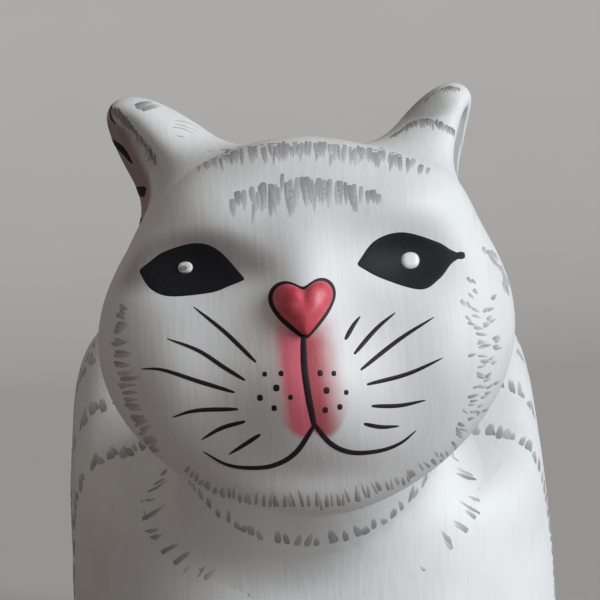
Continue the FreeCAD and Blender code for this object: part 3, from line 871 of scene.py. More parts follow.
EYES = [
    (
        [(-30.8, 12.4), (-28.6, 14.0), (-25.5, 15.9), (-19.6, 17.1), (-15.3, 15.4), (-10.6, 9.6)],
        [(-30.8, 12.2), (-28.6, 8.6), (-24.8, 6.9), (-17.4, 7.2), (-13.3, 8.5), (-10.6, 9.5)],
    ),
    (
        [(10.1, 11.3), (13.8, 15.7), (19.1, 17.1), (25.5, 15.0), (28.4, 13.1), (30.3, 12.3)],
        [(10.1, 11.1), (14.8, 8.2), (21.8, 5.7), (25.6, 7.6), (28.2, 10.5), (30.3, 11.7)],
    ),
]
almonds = np.stack([between_lids(*lids) for lids in EYES])
eyes = film("eyes", "carving", almonds, face_block, crown=0.12)
corner = film("eye_corner_dab", "carving", disc(30.0, 12.0, 2.1, 1.7, 7)[None], face_block)
beads = np.stack([disc(-21.8, 12.4, 3.0, 2.4), disc(20.3, 11.5, 3.8, 3.4)])
drops = film("eye_drops", "carving", beads, face_block, crown=0.65)
# Painted shade: a grey patch in the middle of the white drop in the eye on the viewer's left.
drop_shade = film("drop_painted_shade", "carving", disc(-22.0, 12.2, 1.7, 1.2)[None], face_block, 0.10, 0.60)

# %% [markdown]
# The mouth lines are pressed harder in the middle than at their ends, so each has its own width and its own swell at
# the start and at the finish. A whisker is thinnest at its outer end and blunt where it meets the muzzle.

# %% Mouth, whiskers and dots
MOUTH = [  # path, width, swell at the start, swell at the finish
    ([(-0.5, -1.0), (-0.6, -7.1), (-0.1, -12.8), (0.5, -16.9), (0.6, -18.6)], 1.45, 0.10, 0.12),
    ([(0.8, -17.6), (-2.9, -22.9), (-7.0, -25.3), (-11.6, -25.7), (-16.2, -24.8), (-20.6, -22.0)], 1.15, 0.12, 0.45),
    ([(0.4, -17.2), (3.5, -21.5), (7.4, -23.6), (12.6, -23.7), (16.7, -22.5), (20.0, -20.1)], 1.15, 0.12, 0.45),
]
lines = np.stack([line_stroke(*line, rows=60) for line in MOUTH])
mouth = film("mouth_lines", "carving", lines, face_block, 0.12)
WHISKERS = [
    [(-20.8, 5.2), (-15.0, 0.1), (-9.2, -6.0)],
    [(-26.1, -0.5), (-20.1, -3.1), (-15.3, -6.5), (-11.3, -9.2)],
    [(-31.4, -6.1), (-26.9, -6.4), (-20.1, -8.9), (-13.3, -11.3)],
    [(-25.9, -15.5), (-21.0, -14.3), (-12.9, -14.3)],
    [(-20.6, -20.0), (-16.5, -17.8), (-11.8, -16.6)],
    [(-15.6, -23.0), (-12.6, -21.2), (-9.2, -19.1)],
    [(10.3, 1.7), (8.9, 0.1), (7.1, -2.6)],
    [(17.0, 2.1), (13.0, -0.9), (8.5, -5.4)],
    [(24.3, 0.9), (17.3, -3.0), (9.4, -8.4)],
    [(25.5, -6.8), (18.4, -9.5), (10.4, -11.0)],
    [(21.9, -14.6), (16.7, -15.3), (11.2, -15.0)],
    [(16.7, -19.2), (13.1, -19.1), (9.7, -18.2)],
]
hairs = np.stack([line_stroke(path, 0.95, 0.55, 0.30) for path in WHISKERS])
whiskers = film("whiskers", "carving", hairs, face_block, 0.10)
DOTS = [
    (-7.9, -8.0), (-4.9, -8.0), (-5.9, -10.6), (-9.0, -12.3), (-3.4, -12.4), (-6.5, -14.3),
    (2.2, -8.3), (4.7, -8.5), (3.2, -11.5), (6.8, -12.1), (5.5, -14.7), (2.8, -15.1),
]
size_of_dot = np.random.default_rng(3).uniform(1.1, 1.7, len(DOTS))
touches = np.stack([disc(x, z, 0.9 * wide, wide, 6) for (x, z), wide in zip(DOTS, size_of_dot)])
dots = film("muzzle_dots", "carving", touches, face_block, 0.08)

# %% The line round the nose
LINE_TURN = (0.96, 3.04)  # once round the heart and a little over, in half turns
LINE_WIDTH, HEAVIER, HEAVY_AT = 0.55, 0.35, 235.0


def nose_line(columns=6, rows=120):
    """A strip that follows the heart just outside its rim, thicker low on the viewer's left."""
    angle = np.linspace(*LINE_TURN, rows)[:, None] * np.pi
    x, z = heart(angle)
    heavy = LINE_WIDTH + HEAVIER * bell(degrees_from(angle, HEAVY_AT) / 60.0)
    across = np.linspace(-0.5, 1.0, columns)[None]
    reach = np.hypot(x * NOSE_WIDTH, z * NOSE_HEIGHT)
    scale = 1.0 + heavy * across / np.maximum(reach, 1.5)
    return on_face(x * NOSE_WIDTH * scale, z * NOSE_HEIGHT * scale + NOSE_CENTRE)


nose_outline = film("nose_outline", "carving", nose_line()[None], face_block, 0.12)

# %% [markdown]
# ## The fur strokes of the head
#
# Rows of short grey dashes stand for fur: along the forehead, in a patch over the nose, down both cheeks and under
# the chin. The brush was nearly dry, so each dash starts dense and breaks up into hairs.

# %% Fur on the face
FACE_FUR = [  # path, dashes, headings along it, lengths along it, width, seed, spread
    (
        [(-19.0, 33.0), (-16.4, 35.4), (-10.5, 36.0), (-4.1, 36.2), (3.9, 35.7), (11.9, 34.5), (19.4, 33.0),
         (22.4, 31.2), (25.0, 29.2)],
        48, [-64, -76, -86, -90, -94, -96, -98, -104, -114], [3.0, 4.8, 5.4, 5.2, 4.6, 4.6, 5.0, 4.2, 2.2], 2.2, 11, 0,
    ),
    (
        [(-17.5, 33.6), (-10.0, 35.0), (-2.0, 35.4), (8.0, 34.4), (20.0, 31.8)],
        36, [-72, -86, -92, -97, -104], [3.4, 4.4, 4.0, 4.0, 3.4], 1.5, 12, 0.25,
    ),
    (
        [(-13.0, 26.4), (-9.8, 27.1), (-5.1, 28.5), (3.1, 28.7), (7.4, 28.0), (11.0, 26.8), (14.8, 24.4)],
        26, [-86, -90, -90, -91, -93], [4.0, 6.0, 8.4, 8.2, 7.2, 5.8, 2.4], 2.4, 13, 0.1,
    ),
    ([(-8.0, 27.0), (-2.0, 28.0), (4.0, 28.0), (10.0, 26.4)], 22, [-90, -90], [5.4, 6.8, 6.8, 5.0], 1.8, 14, 0.4),
    (
        [(-34.6, 6.4), (-36.2, 1.8), (-37.0, -2.6), (-36.2, -7.6), (-35.4, -12.4), (-33.6, -17.0), (-30.9, -22.2)],
        40, [-18, -10, -3, 0, 4, 6, 20], [2.0, 3.2, 4.2, 4.6, 4.2, 3.8, 2.6], 1.6, 15, 0,
    ),
    (
        [(31.2, 7.6), (30.2, 4.4), (31.0, 0.6), (31.4, -4.3), (31.2, -9.0), (30.8, -13.0), (29.0, -18.0),
         (26.2, -22.6), (23.2, -27.0)],
        44, [-60, -50, -10, 8, -12, 6, -30, -40, -60], [1.6, 2.2, 2.6, 2.8, 2.8, 2.8, 2.8, 2.8, 2.4], 1.35, 16, 0.45,
    ),
    (
        [(34.6, 3.0), (34.6, -3.0), (34.4, -9.0), (33.4, -14.6), (30.6, -18.6)],
        24, [40, 20, 30, 20, 10], [1.8, 2.4, 2.4, 2.2, 1.8], 1.3, 17, 0.4,
    ),
    (
        [(34.7, 14.1), (36.2, 11.6), (37.8, 9.4), (38.8, 5.8)],
        14, [-70, -66, -70, -78], [2.4, 3.4, 4.0, 3.0], 1.4, 18, 0.1,
    ),
    (
        [(-24.2, -26.9), (-18.9, -31.4), (-11.2, -33.6), (-3.6, -34.7), (3.0, -34.9), (8.3, -34.2), (14.6, -32.2),
         (19.1, -30.4), (22.0, -28.4)],
        46, [60, 74, 84, 90, 92, 96, 100, 112, 124], [2.4, 3.2, 3.6, 4.0, 4.4, 4.4, 4.0, 3.4, 2.6], 1.5, 19, 0,
    ),
]
face_dashes = np.concatenate([face_fur(*row) for row in FACE_FUR])
face_furs = film("face_fur", "carving", face_dashes, face_block, crown=0.04)

# %% [markdown]
# The ears carry strokes too. On the left one a row of dashes follows the front rim, from the tip down, and black bars
# reach in from the rear rim. On the right one there is a cap at the tip and a band half way up. Places on an ear are
# pairs: the share of its length, and the angle round it from the middle of the scoop. A row lies between two lines of
# such places, and every dash runs from the one to the other.

# %% Strokes on an ear
EAR_MILLIMETRES = np.array([EAR_LENGTH, np.radians(9.0)])  # for a whole length, and for one degree round 9 mm


def square_to(heading):
    """The direction across a flat heading."""
    heading = heading / (np.linalg.norm(heading, axis=-1, keepdims=True) + 1e-9)
    return np.stack([-heading[..., 1], heading[..., 0]], -1)


def on_ear(side, flat):
    """Places in millimetres along and round an ear, brought onto it."""
    place = flat / EAR_MILLIMETRES
    return ear_point(side, place[..., 0], np.radians(place[..., 1]))[0]


def ear_row(side, upper, lower, count, width, seed):
    """Dashes from one line of places on an ear to another; half width = 0.88 x width x t^0.4 (1 - t)^0.75."""
    rng = np.random.default_rng(seed)
    start = smooth_path(upper * EAR_MILLIMETRES, count) + rng.normal(0, 0.15, (count, 2))
    run = (smooth_path(lower * EAR_MILLIMETRES, count) - start) * rng.uniform(*UNEVEN_LENGTH, (count, 1))
    run = run + rng.normal(0, 0.3, (count, 2))
    t = np.linspace(0.02, 0.98, 8)
    half = width * rng.uniform(*UNEVEN_WIDTH, (count, 1)) * 0.88 * t**0.4 * (1 - t) ** 0.75
    way = start[:, None] + run[:, None] * t[None, :, None]
    across = square_to(run)[:, None, None] * (half[..., None] * np.linspace(-1, 1, 4))[..., None]
    return on_ear(side, way[:, :, None] + across)


def ear_line(side, places, width, start=0.4, finish=0.4, rows=30, columns=5):
    """A brushed line over an ear: half width x t^start (1 - t)^finish, scaled to full width in the middle."""
    path = smooth_path(places * EAR_MILLIMETRES, rows)
    t = np.linspace(0.01, 0.99, rows)
    half = width / 2 * t**start * (1 - t) ** finish / (0.5 ** (start + finish))
    across = square_to(np.gradient(path, axis=0))[:, None] * (half[:, None] * np.linspace(-1, 1, columns))[..., None]
    return on_ear(side, path[:, None] + across)[None]


# %% Rows of dashes on the ears
RIM_TOP = [(0.95, 20), (0.893, 41), (0.763, 44), (0.638, 41), (0.561, 43), (0.469, 43), (0.374, 41)]
RIM_END = [(0.86, -6), (0.80, -2), (0.661, -18), (0.566, -20), (0.484, -20), (0.424, -16), (0.36, -10)]
BAND_TOP = [
    (0.33, 236), (0.426, 237), (0.514, 243), (0.539, 252), (0.561, 263), (0.569, 274), (0.559, 288), (0.56, 306),
]
BAND_END = [
    (0.27, 240), (0.354, 243), (0.439, 250), (0.454, 260), (0.466, 270), (0.474, 281), (0.471, 294), (0.48, 312),
]
EAR_FUR = [  # side, from places, to places, dashes, width, seed
    (-1, RIM_TOP, RIM_END, 30, 1.5, 21),
    (-1, RIM_TOP[:4], [(0.83, 8), (0.73, 10), (0.62, 2), (0.56, 0)], 16, 1.7, 22),
    (-1, [(0.80, 62), (0.72, 62)], [(0.80, 112), (0.71, 112)], 5, 2.2, 23),
    (1, BAND_TOP, BAND_END, 34, 1.5, 24),
    (1, BAND_TOP[:5], [(0.30, 238), (0.38, 241), (0.46, 248), (0.48, 256), (0.50, 262)], 16, 1.7, 25),
    (
        1, [(0.78, 238), (0.86, 244), (0.93, 260), (0.93, 292)], [(0.70, 244), (0.77, 252), (0.82, 264), (0.85, 290)],
        14, 1.8, 26,
    ),
]
rows = np.concatenate([ear_row(*row) for row in EAR_FUR])
ear_dashes = film("ear_fur", "carving", rows, face_block, crown=0.04)

# %% Bars and lines on the ears
EAR_BARS = [  # side, places, width, swell at the start, swell at the finish
    (-1, [(0.955, 30), (0.90, 2), (0.82, -14)], 1.2, 0.4, 0.4),
    (-1, [(0.83, -72), (0.776, -57), (0.651, -42), (0.50, -38)], 2.4, 0.45, 0.75),
    (-1, [(0.45, -84), (0.37, -64), (0.30, -46), (0.25, -36)], 2.4, 0.12, 0.10),
    (-1, [(0.15, -66), (0.08, -42), (0.03, -18)], 1.8, 0.15, 0.15),
]
EAR_LINES = [
    (-1, [(0.526, 88), (0.466, 104), (0.349, 111)], 0.40),
    (-1, [(0.489, 83), (0.414, 95), (0.327, 104)], 0.36),
    (-1, [(0.464, 76), (0.409, 87), (0.324, 91)], 0.32),
    (-1, [(0.369, 73), (0.317, 79)], 0.28),
    (1, [(0.50, 20), (0.46, -30), (0.44, -42)], 0.8),
]
bars = np.concatenate([ear_line(*bar) for bar in EAR_BARS])
ear_bars = film("ear_bars", "carving", bars, face_block, crown=0.08)
lines = np.concatenate([ear_line(*line) for line in EAR_LINES])
ear_lines = film("ear_lines", "carving", lines, face_block, crown=0.04)
bpy.data.objects.remove(face_block)

# %% [markdown]
# ## The fur strokes of the body
#
# Bands of dashes cross the back and run down its sides, one ring lies round the neck under the chin, and more bands
# cross the legs and the tail. The carved forms are grids, so a band is easy to name: a row of the grid, and how far
# round it to go. The dashes are spaced by their way round the ring, and all head along the piece.

# %% A band of fur round a ring
PAINTED_ABOVE = 7.0


def between_rings(grid, row, column):
    """Places on a closed grid at fractional rows and columns, and its two directions there: each is the mean of
    the four corners or two sides around it, weighted by the fractions."""
    row = np.clip(row, 0, grid.shape[0] - 1.01)
    r, c = row.astype(int), np.floor(column).astype(int) % grid.shape[1]
    s, t = (row - r)[:, None], (column - np.floor(column))[:, None]
    a, b = grid[r, c], grid[r, (c + 1) % grid.shape[1]]
    d, e = grid[r + 1, c], grid[r + 1, (c + 1) % grid.shape[1]]
    down, around = (d - a) * (1 - t) + (e - b) * t, (b - a) * (1 - s) + (e - d) * s
    point = (a * (1 - t) + b * t) * (1 - s) + (d * (1 - t) + e * t) * s
    down /= np.linalg.norm(down, axis=1, keepdims=True) + 1e-9
    return point, down, around / (np.linalg.norm(around, axis=1, keepdims=True) + 1e-9)


def ring_fur(grid, row, first, last, spacing, length, width, seed):
    """Dashes round one ring, from one share of the way round to another, about `spacing` apart."""
    rng = np.random.default_rng(seed)
    ring = grid[int(row)]
    walked = np.concatenate([[0], np.cumsum(np.linalg.norm(np.roll(ring, -1, axis=0) - ring, axis=1))])
    count = max(4, int(walked[-1] * (last - first) / spacing))
    share = np.linspace(first, last, count) + rng.normal(0, 0.25 * spacing / walked[-1], count)
    column = np.interp((share % 1.0) * walked[-1], walked, np.arange(len(walked)))
    point, down, around = between_rings(grid, row + rng.normal(0, 0.35, count), column)
    size = length * rng.uniform(0.7, 1.25, count)
    forward, sideways = fur_dashes(size, width * rng.uniform(*UNEVEN_WIDTH, count), rng.normal(0, 0.5, count))
    along, aside = turned_dashes(forward, sideways, rng.normal(0, 0.14, count))
    strokes = point[:, None, None] + along[..., None] * down[:, None, None] + aside[..., None] * around[:, None, None]
    return strokes[point[:, 2] > PAINTED_ABOVE]


# %% Bands on the body and legs
BAND_PLACES = (-60.0, -37.0, -9.0, 19.0, 47.0, 73.0)
BACK = (-0.12, 0.62)  # from low on the one side over the back, in turns
LEG_FRONT = (0.0, 0.55)
ALL_ROUND = (0.0, 1.0)

body_block = block("body_block", [torso_grid, neck_grid, *leg_grids.values()])
middle_line = torso_grid[:, 0, 1]
bands = []
for number, place in enumerate(BAND_PLACES):
    row = float(np.interp(place, middle_line, np.arange(len(middle_line))))
    bands.append(ring_fur(torso_grid, row, *BACK, 2.5, 9.5, 3.6, 40 + number))
    bands.append(ring_fur(torso_grid, row + 0.8, *BACK, 3.4, 7.0, 2.6, 50 + number))
bands.append(ring_fur(neck_grid, 62.0, *ALL_ROUND, 2.2, 8.0, 3.2, 60))
bands.append(ring_fur(neck_grid, 40.0, *ALL_ROUND, 3.0, 7.0, 2.4, 61))
for number, grid in enumerate(leg_grids.values()):
    for step, row in enumerate((58.0, 80.0, 100.0)):
        bands.append(ring_fur(grid, row, *LEG_FRONT, 3.4, 5.5, 1.8, 70 + 3 * number + step))
body_furs = film("body_fur", "carving", np.concatenate(bands), body_block, crown=0.04)
bpy.data.objects.remove(body_block)

# %% Bands on the tail, closer together at its tip
THIN_ROWS, TIP_ROWS = range(16, 84, 11), (84, 90, 97, 103)
tail_bands = [ring_fur(tail_grid, row, *ALL_ROUND, 3.0, 5.0, 1.7, 90 + k) for k, row in enumerate(THIN_ROWS)]
tail_bands += [ring_fur(tail_grid, row, *ALL_ROUND, 2.2, 6.0, 2.2, 98 + k) for k, row in enumerate(TIP_ROWS)]
tail_furs = film("tail_fur", "tail", np.concatenate(tail_bands), tail, crown=0.04)

# %% [markdown]
# ## Materials
#
# A material is a small sum of textures. To write such sums as plain expressions we wrap each socket in a class whose
# operators add the Math nodes. Any other node comes from one method that takes its type, its settings and the values
# or links of its sockets.

# %% Arithmetic on sockets


class Value:
    """A socket inside a material: + - * / on it add Math nodes."""

    def __init__(self, finish, socket):
        self.finish, self.socket = finish, socket

    def maths(self, operation, first, second=None):
        """The socket of a new Math node on one or two values."""
        inputs = {0: first} if second is None else {0: first, 1: second}
        return self.finish.node("ShaderNodeMath", {"operation": operation}, inputs)

    def __add__(self, other):
        return self.maths("ADD", self, other)

    __radd__ = __add__

    def __sub__(self, other):
        return self.maths("SUBTRACT", self, other)

    def __rsub__(self, other):
        return self.maths("SUBTRACT", other, self)

    def __mul__(self, other):
        return self.maths("MULTIPLY", self, other)

    __rmul__ = __mul__

    def __truediv__(self, other):
        return self.maths("DIVIDE", self, other)

    def __pow__(self, other):
        return self.maths("POWER", self, other)

    def size(self):
        """The value without its sign."""
        return self.maths("ABSOLUTE", self)

    def clear(self, low, high):
        """0 below `low`, 1 above `high`, smooth between; the other way round when `high` is the smaller."""
        settings = {"interpolation_type": "SMOOTHSTEP", "clamp": True}
        before, after = (0.0, 1.0) if low < high else (1.0, 0.0)
        inputs = {0: self, 1: min(low, high), 2: max(low, high), 3: before, 4: after}
        return self.finish.node("ShaderNodeMapRange", settings, inputs)


# %% Nodes of one material


class Finish:
    """One material and the nodes that make it."""

    def __init__(self, name, roughness=0.5):
        self.material = bpy.data.materials.new(name)
        self.material.use_nodes = True
        self.tree = self.material.node_tree
        self.shader = self.tree.nodes["Principled BSDF"]
        self.shader.inputs["Roughness"].default_value = roughness

    def node(self, kind, settings, inputs, output=0):
        """A new node: its settings are set first, then each input gets a value or a link; one output comes back."""
        made = self.tree.nodes.new(kind)
        for name, value in settings.items():
            setattr(made, name, value)
        for name, value in inputs.items():
            self.feed(made.inputs[name], value)
        return Value(self, made.outputs[output])

    def feed(self, socket, value):
        """A link to the socket if the value is a socket itself, or else the plain value, a colour made opaque."""
        if isinstance(value, Value):
            self.tree.links.new(value.socket, socket)
        elif socket.type == "RGBA":
            socket.default_value = (*value, 1.0)
        else:
            socket.default_value = value

    def set(self, **inputs):
        """Feeds inputs of the shader by their names."""
        for name, value in inputs.items():
            self.feed(self.shader.inputs[name.replace("_", " ")], value)
        return self

    def place(self):
        """Where a point lies on the piece, in millimetres."""
        metres = self.node("ShaderNodeTexCoord", {}, {}, "Object")
        return self.node("ShaderNodeVectorMath", {"operation": "SCALE"}, {0: metres, "Scale": 1.0 / MM})

    def parts(self, vector):
        """The three parts of a vector."""
        split = self.node("ShaderNodeSeparateXYZ", {}, {0: vector}).socket.node
        return [Value(self, socket) for socket in split.outputs]

    def kept(self, name, output="Fac"):
        """What was stored under a name at each point of the piece."""
        return self.node("ShaderNodeAttribute", {"attribute_name": name}, {}, output)

    def stretched(self, vector, factors):
        """Each part of a vector times its own factor."""
        return self.node("ShaderNodeVectorMath", {"operation": "MULTIPLY"}, {0: vector, 1: factors})

    def noise(self, vector, scale, detail=2.0):
        """Soft noise between 0 and 1; `scale` is about the number of its waves in a millimetre."""
        return self.node("ShaderNodeTexNoise", {}, {"Vector": vector, "Scale": scale, "Detail": detail})

    def mix(self, share, first, second):
        """From the first colour to the second by a share."""
        return self.node("ShaderNodeMix", {"data_type": "RGBA"}, {0: share, 6: first, 7: second}, 2)

    def bump(self, height, distance, strength=1.0):
        """Tilts the shading as if the height, in steps of `distance` millimetres, were carved."""
        inputs = {"Height": height, "Distance": distance * MM, "Strength": strength}
        self.feed(self.shader.inputs["Normal"], self.node("ShaderNodeBump", {}, inputs))
        return self


# %% [markdown]
# ## White ground
#
# The wood is primed and painted white with a soft flat brush. The white is not even: it thins along the brush marks
# and has a warm cast where the undercoat shows. Over it, while the white was still fresh, pink was washed onto both
# sides of the mouth line, darker on the viewer's right. Over the eye on the viewer's left, the side away from the
# light, lies a grey-plum painted shade: the shade of the eye's hollow. The fur dashes need the same ground between
# their hairs, so the ground is one function that every white finish calls.

# %% The white ground and its shades
WHITE = (0.74, 0.74, 0.735)
THIN_WHITE = (0.63, 0.615, 0.60)
BLUSH_LEFT, BLUSH_RIGHT = (0.90, 0.145, 0.22), (0.46, 0.060, 0.080)
# The grey-plum colour below is painted shade for the hollow over the eye on the viewer's left.
PLUM_PAINTED_SHADE = (0.17, 0.125, 0.125)
CHEEKS = HEAD_MIDDLE[1] - 6.0  # the depth at which the face turns to its sides
MOUTH_LEAN = 0.064
LEFT_EYE, LEFT_LIDS = (-20.0, 10.4), (11.6, 6.9)


def pink_wash(finish, x, z, wobble):
    """Share and colour of the pink beside the mouth line: strong next to it, gone past 6 to 9 mm, from under the nose
    down to a rounded foot."""
    beside = x + 0.6 + z * MOUTH_LEAN + wobble * 0.35
    on_left = beside.clear(0.3, -0.3)
    left = 0.0 - beside
    left_wash = left.clear(5.8, 3.6) * 0.68 + left.clear(9.5, 3.0) * 0.28
    right_wash = beside.clear(7.8, 1.4)
    from_middle = beside.size() - 2.2
    foot = (z + wobble * 0.6 - from_middle * from_middle * 0.25).clear(-21.0, -19.4)
    top = (z + wobble).clear(5.2, -3.0)
    blush = (left_wash * on_left + right_wash * (1.0 - on_left)) * foot * top
    return blush, finish.mix(on_left, BLUSH_RIGHT, BLUSH_LEFT)


def white_ground(finish, face=True):
    """The ground's colour: white, thinner along the brush marks; on the head, also blush and a painted shade over one
    eye.
    """
    vector = finish.place()
    marks = finish.noise(finish.stretched(vector, (1.0, 0.25, 0.12)), 0.9, 3.0)
    cloud = finish.noise(vector, 0.045, 2.0)
    thin = marks.clear(0.52, 0.80) * 0.45 + cloud.clear(0.50, 0.75) * 0.40
    colour = finish.mix(thin, WHITE, THIN_WHITE)
    if not face:
        return colour, marks
    x, y, z = finish.parts(vector)
    z = z - HEAD_MIDDLE[2]
    front = (y - CHEEKS).clear(0.0, -4.0)
    blush, pink = pink_wash(finish, x, z, (finish.noise(vector, 0.35) - 0.5) * 2.2)
    colour = finish.mix(blush * front * 0.96, colour, pink)
    # Painted shade: a grey-plum ring in the hollow above the eye on the viewer's left, the side away from the light.
    round_eye = ((x - LEFT_EYE[0]) / LEFT_LIDS[0]).size() ** 2.0 + ((z - LEFT_EYE[1]) / LEFT_LIDS[1]).size() ** 2.0
    shade = round_eye.clear(2.3, 0.9) * (z - x * 0.05).clear(8.0, 13.0)
    return finish.mix(shade * front * 0.62, colour, PLUM_PAINTED_SHADE), marks


# %% Finishes of the head and the body
head_finish = Finish("painted white face", 0.55)
colour, marks = white_ground(head_finish)
head_finish.set(Base_Color=colour, Roughness=0.62 - marks * 0.14).bump(marks, 0.06)

body_finish = Finish("painted white body", 0.55)
colour, marks = white_ground(body_finish, face=False)
body_finish.set(Base_Color=colour, Roughness=0.64 - marks * 0.14).bump(marks, 0.08)

# %% [markdown]
# The ears are lined, and painted shade lies over them. On the viewer's left a thin pinkish brown, darkened with
# painted shade, covers the outer half of the ear, which is turned from the light, up to a ragged edge near its middle
# line. On the viewer's right a grey painted shade lies deep in the scoop, and a thin grey-green painted shade lies on
# the side of the tip that is turned from the light. The first is placed by how far a point lies from the ear's seat
# along the ear's own directions, the second by the depth of the scoop that was kept when the ear was carved.

# %% Finish of the ears
# Painted shade on the ears: the pinkish brown is a lining darkened by shade, the grey is the shade deep in the scoop,
# and the grey-green is the shade on the side of the tip away from the light.
SHADED_EAR_PINK = (0.30, 0.195, 0.18)
SCOOP_PAINTED_SHADE = (0.30, 0.31, 0.31)
TIP_PAINTED_SHADE = (0.34, 0.34, 0.31)
LINING_HEIGHT = 27.0
TIP_SHADE_PLACE = (0.68, np.radians(248.0))
ear_finish = Finish("painted ear", 0.58)
colour, marks = white_ground(ear_finish, face=False)
vector = ear_finish.place()
on_right = ear_finish.parts(vector)[0].clear(-5.0, 5.0)


def towards(seat, direction):
    """How far each point lies from the ear's seat along a direction."""
    along = ear_finish.node("ShaderNodeVectorMath", {"operation": "DOT_PRODUCT"}, {0: vector, 1: tuple(direction)}, 1)
    return along - float(seat.dot(direction))


# %% The lining, and the painted shade in the scoop and on the tip
seat, axis, outwards, across = ear_axes(-1)
ragged = (marks - 0.5) * 1.2
height = towards(seat, axis)
past_middle = (towards(seat, across) + ragged - (height - 8.0) * 0.15).clear(-1.6, -3.2)
shaded_outer_half = past_middle * (towards(seat, outwards) + ragged).clear(-1.5, 0.5)
shaded_outer_half = shaded_outer_half * height.clear(LINING_HEIGHT, LINING_HEIGHT - 2.5) * height.clear(0.5, 2.0)
# Painted shade: grey deep in the scoop of the ear on the viewer's right.
deep_scoop_shade = (ear_finish.kept("scoop") + (marks - 0.5) * 0.25).clear(0.36, 0.62)
lining_and_shade = deep_scoop_shade * on_right + shaded_outer_half * (1.0 - on_right)
lining_and_shade_colour = ear_finish.mix(on_right, SHADED_EAR_PINK, SCOOP_PAINTED_SHADE)
# Painted shade: grey-green on the side of the right ear's tip that is turned from the light.
tip_shade_at = tuple(float(v) for v in ear_point(1, *np.array(TIP_SHADE_PLACE))[0])
from_tip_shade = ear_finish.node("ShaderNodeVectorMath", {"operation": "DISTANCE"}, {0: vector, 1: tip_shade_at}, 1)
tip_shade = (from_tip_shade + (ear_finish.noise(vector, 0.5) - 0.5) * 3.0).clear(7.5, 2.5) * 0.75
colour = ear_finish.mix(lining_and_shade * 0.92, ear_finish.mix(tip_shade, colour, TIP_PAINTED_SHADE), lining_and_shade_colour)
ear_finish.set(Base_Color=colour, Roughness=0.62 - marks * 0.14).bump(marks, 0.06)

# %% [markdown]
# Dry grey: a dash is dense where the brush lands and breaks into hairs as it leaves. Stretched noise along the stroke
# gives the hairs, and the limit that it must pass rises along the dash.

# %% Dry-brush grey


def dry_brush(name, grey, dense, face):
    """Grey over the white ground: hairs = noise across the stroke, kept where it passes a limit that rises."""
    finish = Finish(name, 0.6)
    ground, marks = white_ground(finish, face)
    stroke = finish.kept("stroke", "Vector")
    along, across, own = finish.parts(stroke)
    hairs = finish.noise(finish.stretched(stroke, (1.3, 3.0, 57.0)), 1.0, 3.0)
    limit = 0.13 + along * along * 0.46 + across.size() ** 3.0 * 0.20
    covered = (hairs - limit).clear(-0.13, 0.19)
    weight = dense - own * 0.28 - along * 0.36
    return finish.set(Base_Color=finish.mix(covered * weight, ground, grey))


face_grey = dry_brush("dry grey on the face", (0.205, 0.19, 0.195), 0.88, True)
ear_grey = dry_brush("dry grey on the ears", (0.052, 0.048, 0.040), 0.92, False)
body_grey = dry_brush("dry grey on the body", (0.15, 0.15, 0.16), 0.90, False)

# %% [markdown]
# The plain paints wander a little between two tones, as paint from a small pot does: a black for the eyes and ear
# bars, a thinner plum black for the lines, a white for the raised drops, and a grey painted shade in the middle of
# one.

# %% Black, plum black, white drop and the painted shade on a drop


def two_tones(name, roughness, first, second, waves, detail=2.0, **inputs):
    """A paint between two tones by soft noise; the noise comes back too, for a bump."""
    finish = Finish(name, roughness)
    cloud = finish.noise(finish.place(), waves, detail)
    return finish.set(Base_Color=finish.mix(cloud, first, second), **inputs), cloud


black, grain = two_tones(
    "black paint", 0.6, (0.006, 0.006, 0.009), (0.014, 0.014, 0.018), 1.2, 3.0, Specular_IOR_Level=0.22
)
black.bump(grain, 0.03)
line_black, grain = two_tones(
    "plum black line", 0.6, (0.010, 0.006, 0.009), (0.036, 0.020, 0.028), 0.9, 3.0, Specular_IOR_Level=0.25
)
white_drop, grain = two_tones("white drop", 0.35, (0.80, 0.80, 0.80), (0.70, 0.70, 0.70), 0.8)
drop_shade_grey, grain = two_tones("painted shade on a drop", 0.5, (0.16, 0.16, 0.15), (0.34, 0.33, 0.31), 1.5)

# %% [markdown]
# The nose is rose with a black edge: the number kept on its mesh says how near a point is to the heart's rim. The
# dowels are bare wood, with rings drawn out along the grain.

# %% Rose nose and bare wood
rose = Finish("rose nose", 0.42)
cloud = rose.noise(rose.place(), 0.35, 3.0)
red = rose.mix(cloud.clear(0.3, 0.7), (0.52, 0.048, 0.070), (0.68, 0.095, 0.130))
edge = (rose.kept("rim") + (cloud - 0.5) * 0.06).clear(0.955, 0.985)
rose.set(Base_Color=rose.mix(edge, red, (0.012, 0.006, 0.008))).bump(cloud, 0.10)

wood = Finish("bare wood", 0.62)
rings = wood.noise(wood.stretched(wood.place(), (1.0, 0.08, 0.7)), 0.9, 4.0)
wood.set(Base_Color=wood.mix(rings.clear(0.35, 0.7), (0.62, 0.42, 0.24), (0.42, 0.25, 0.125))).bump(rings, 0.08)

# %% Give each piece its finish


def dress(pieces, finish):
    """Gives pieces their material."""
    for piece in pieces:
        piece.data.materials.clear()
        piece.data.materials.append(finish.material)


dress([head], head_finish)
dress(ears.values(), ear_finish)
dress([torso, tail, *legs.values()], body_finish)
dress([nose], rose)
dress([eyes, corner], black)
dress([mouth, whiskers, dots, nose_outline], line_black)
dress([drops], white_drop)
dress([drop_shade], drop_shade_grey)
dress([face_furs], face_grey)
dress([ear_dashes, ear_lines], ear_grey)
dress([ear_bars], black)
dress([body_furs, tail_furs], body_grey)
dress([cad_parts[name] for name in ("tail_peg", "neck_dowel", "ear_pegs", "foreleg_pegs", "hind_paw_pegs")], wood)

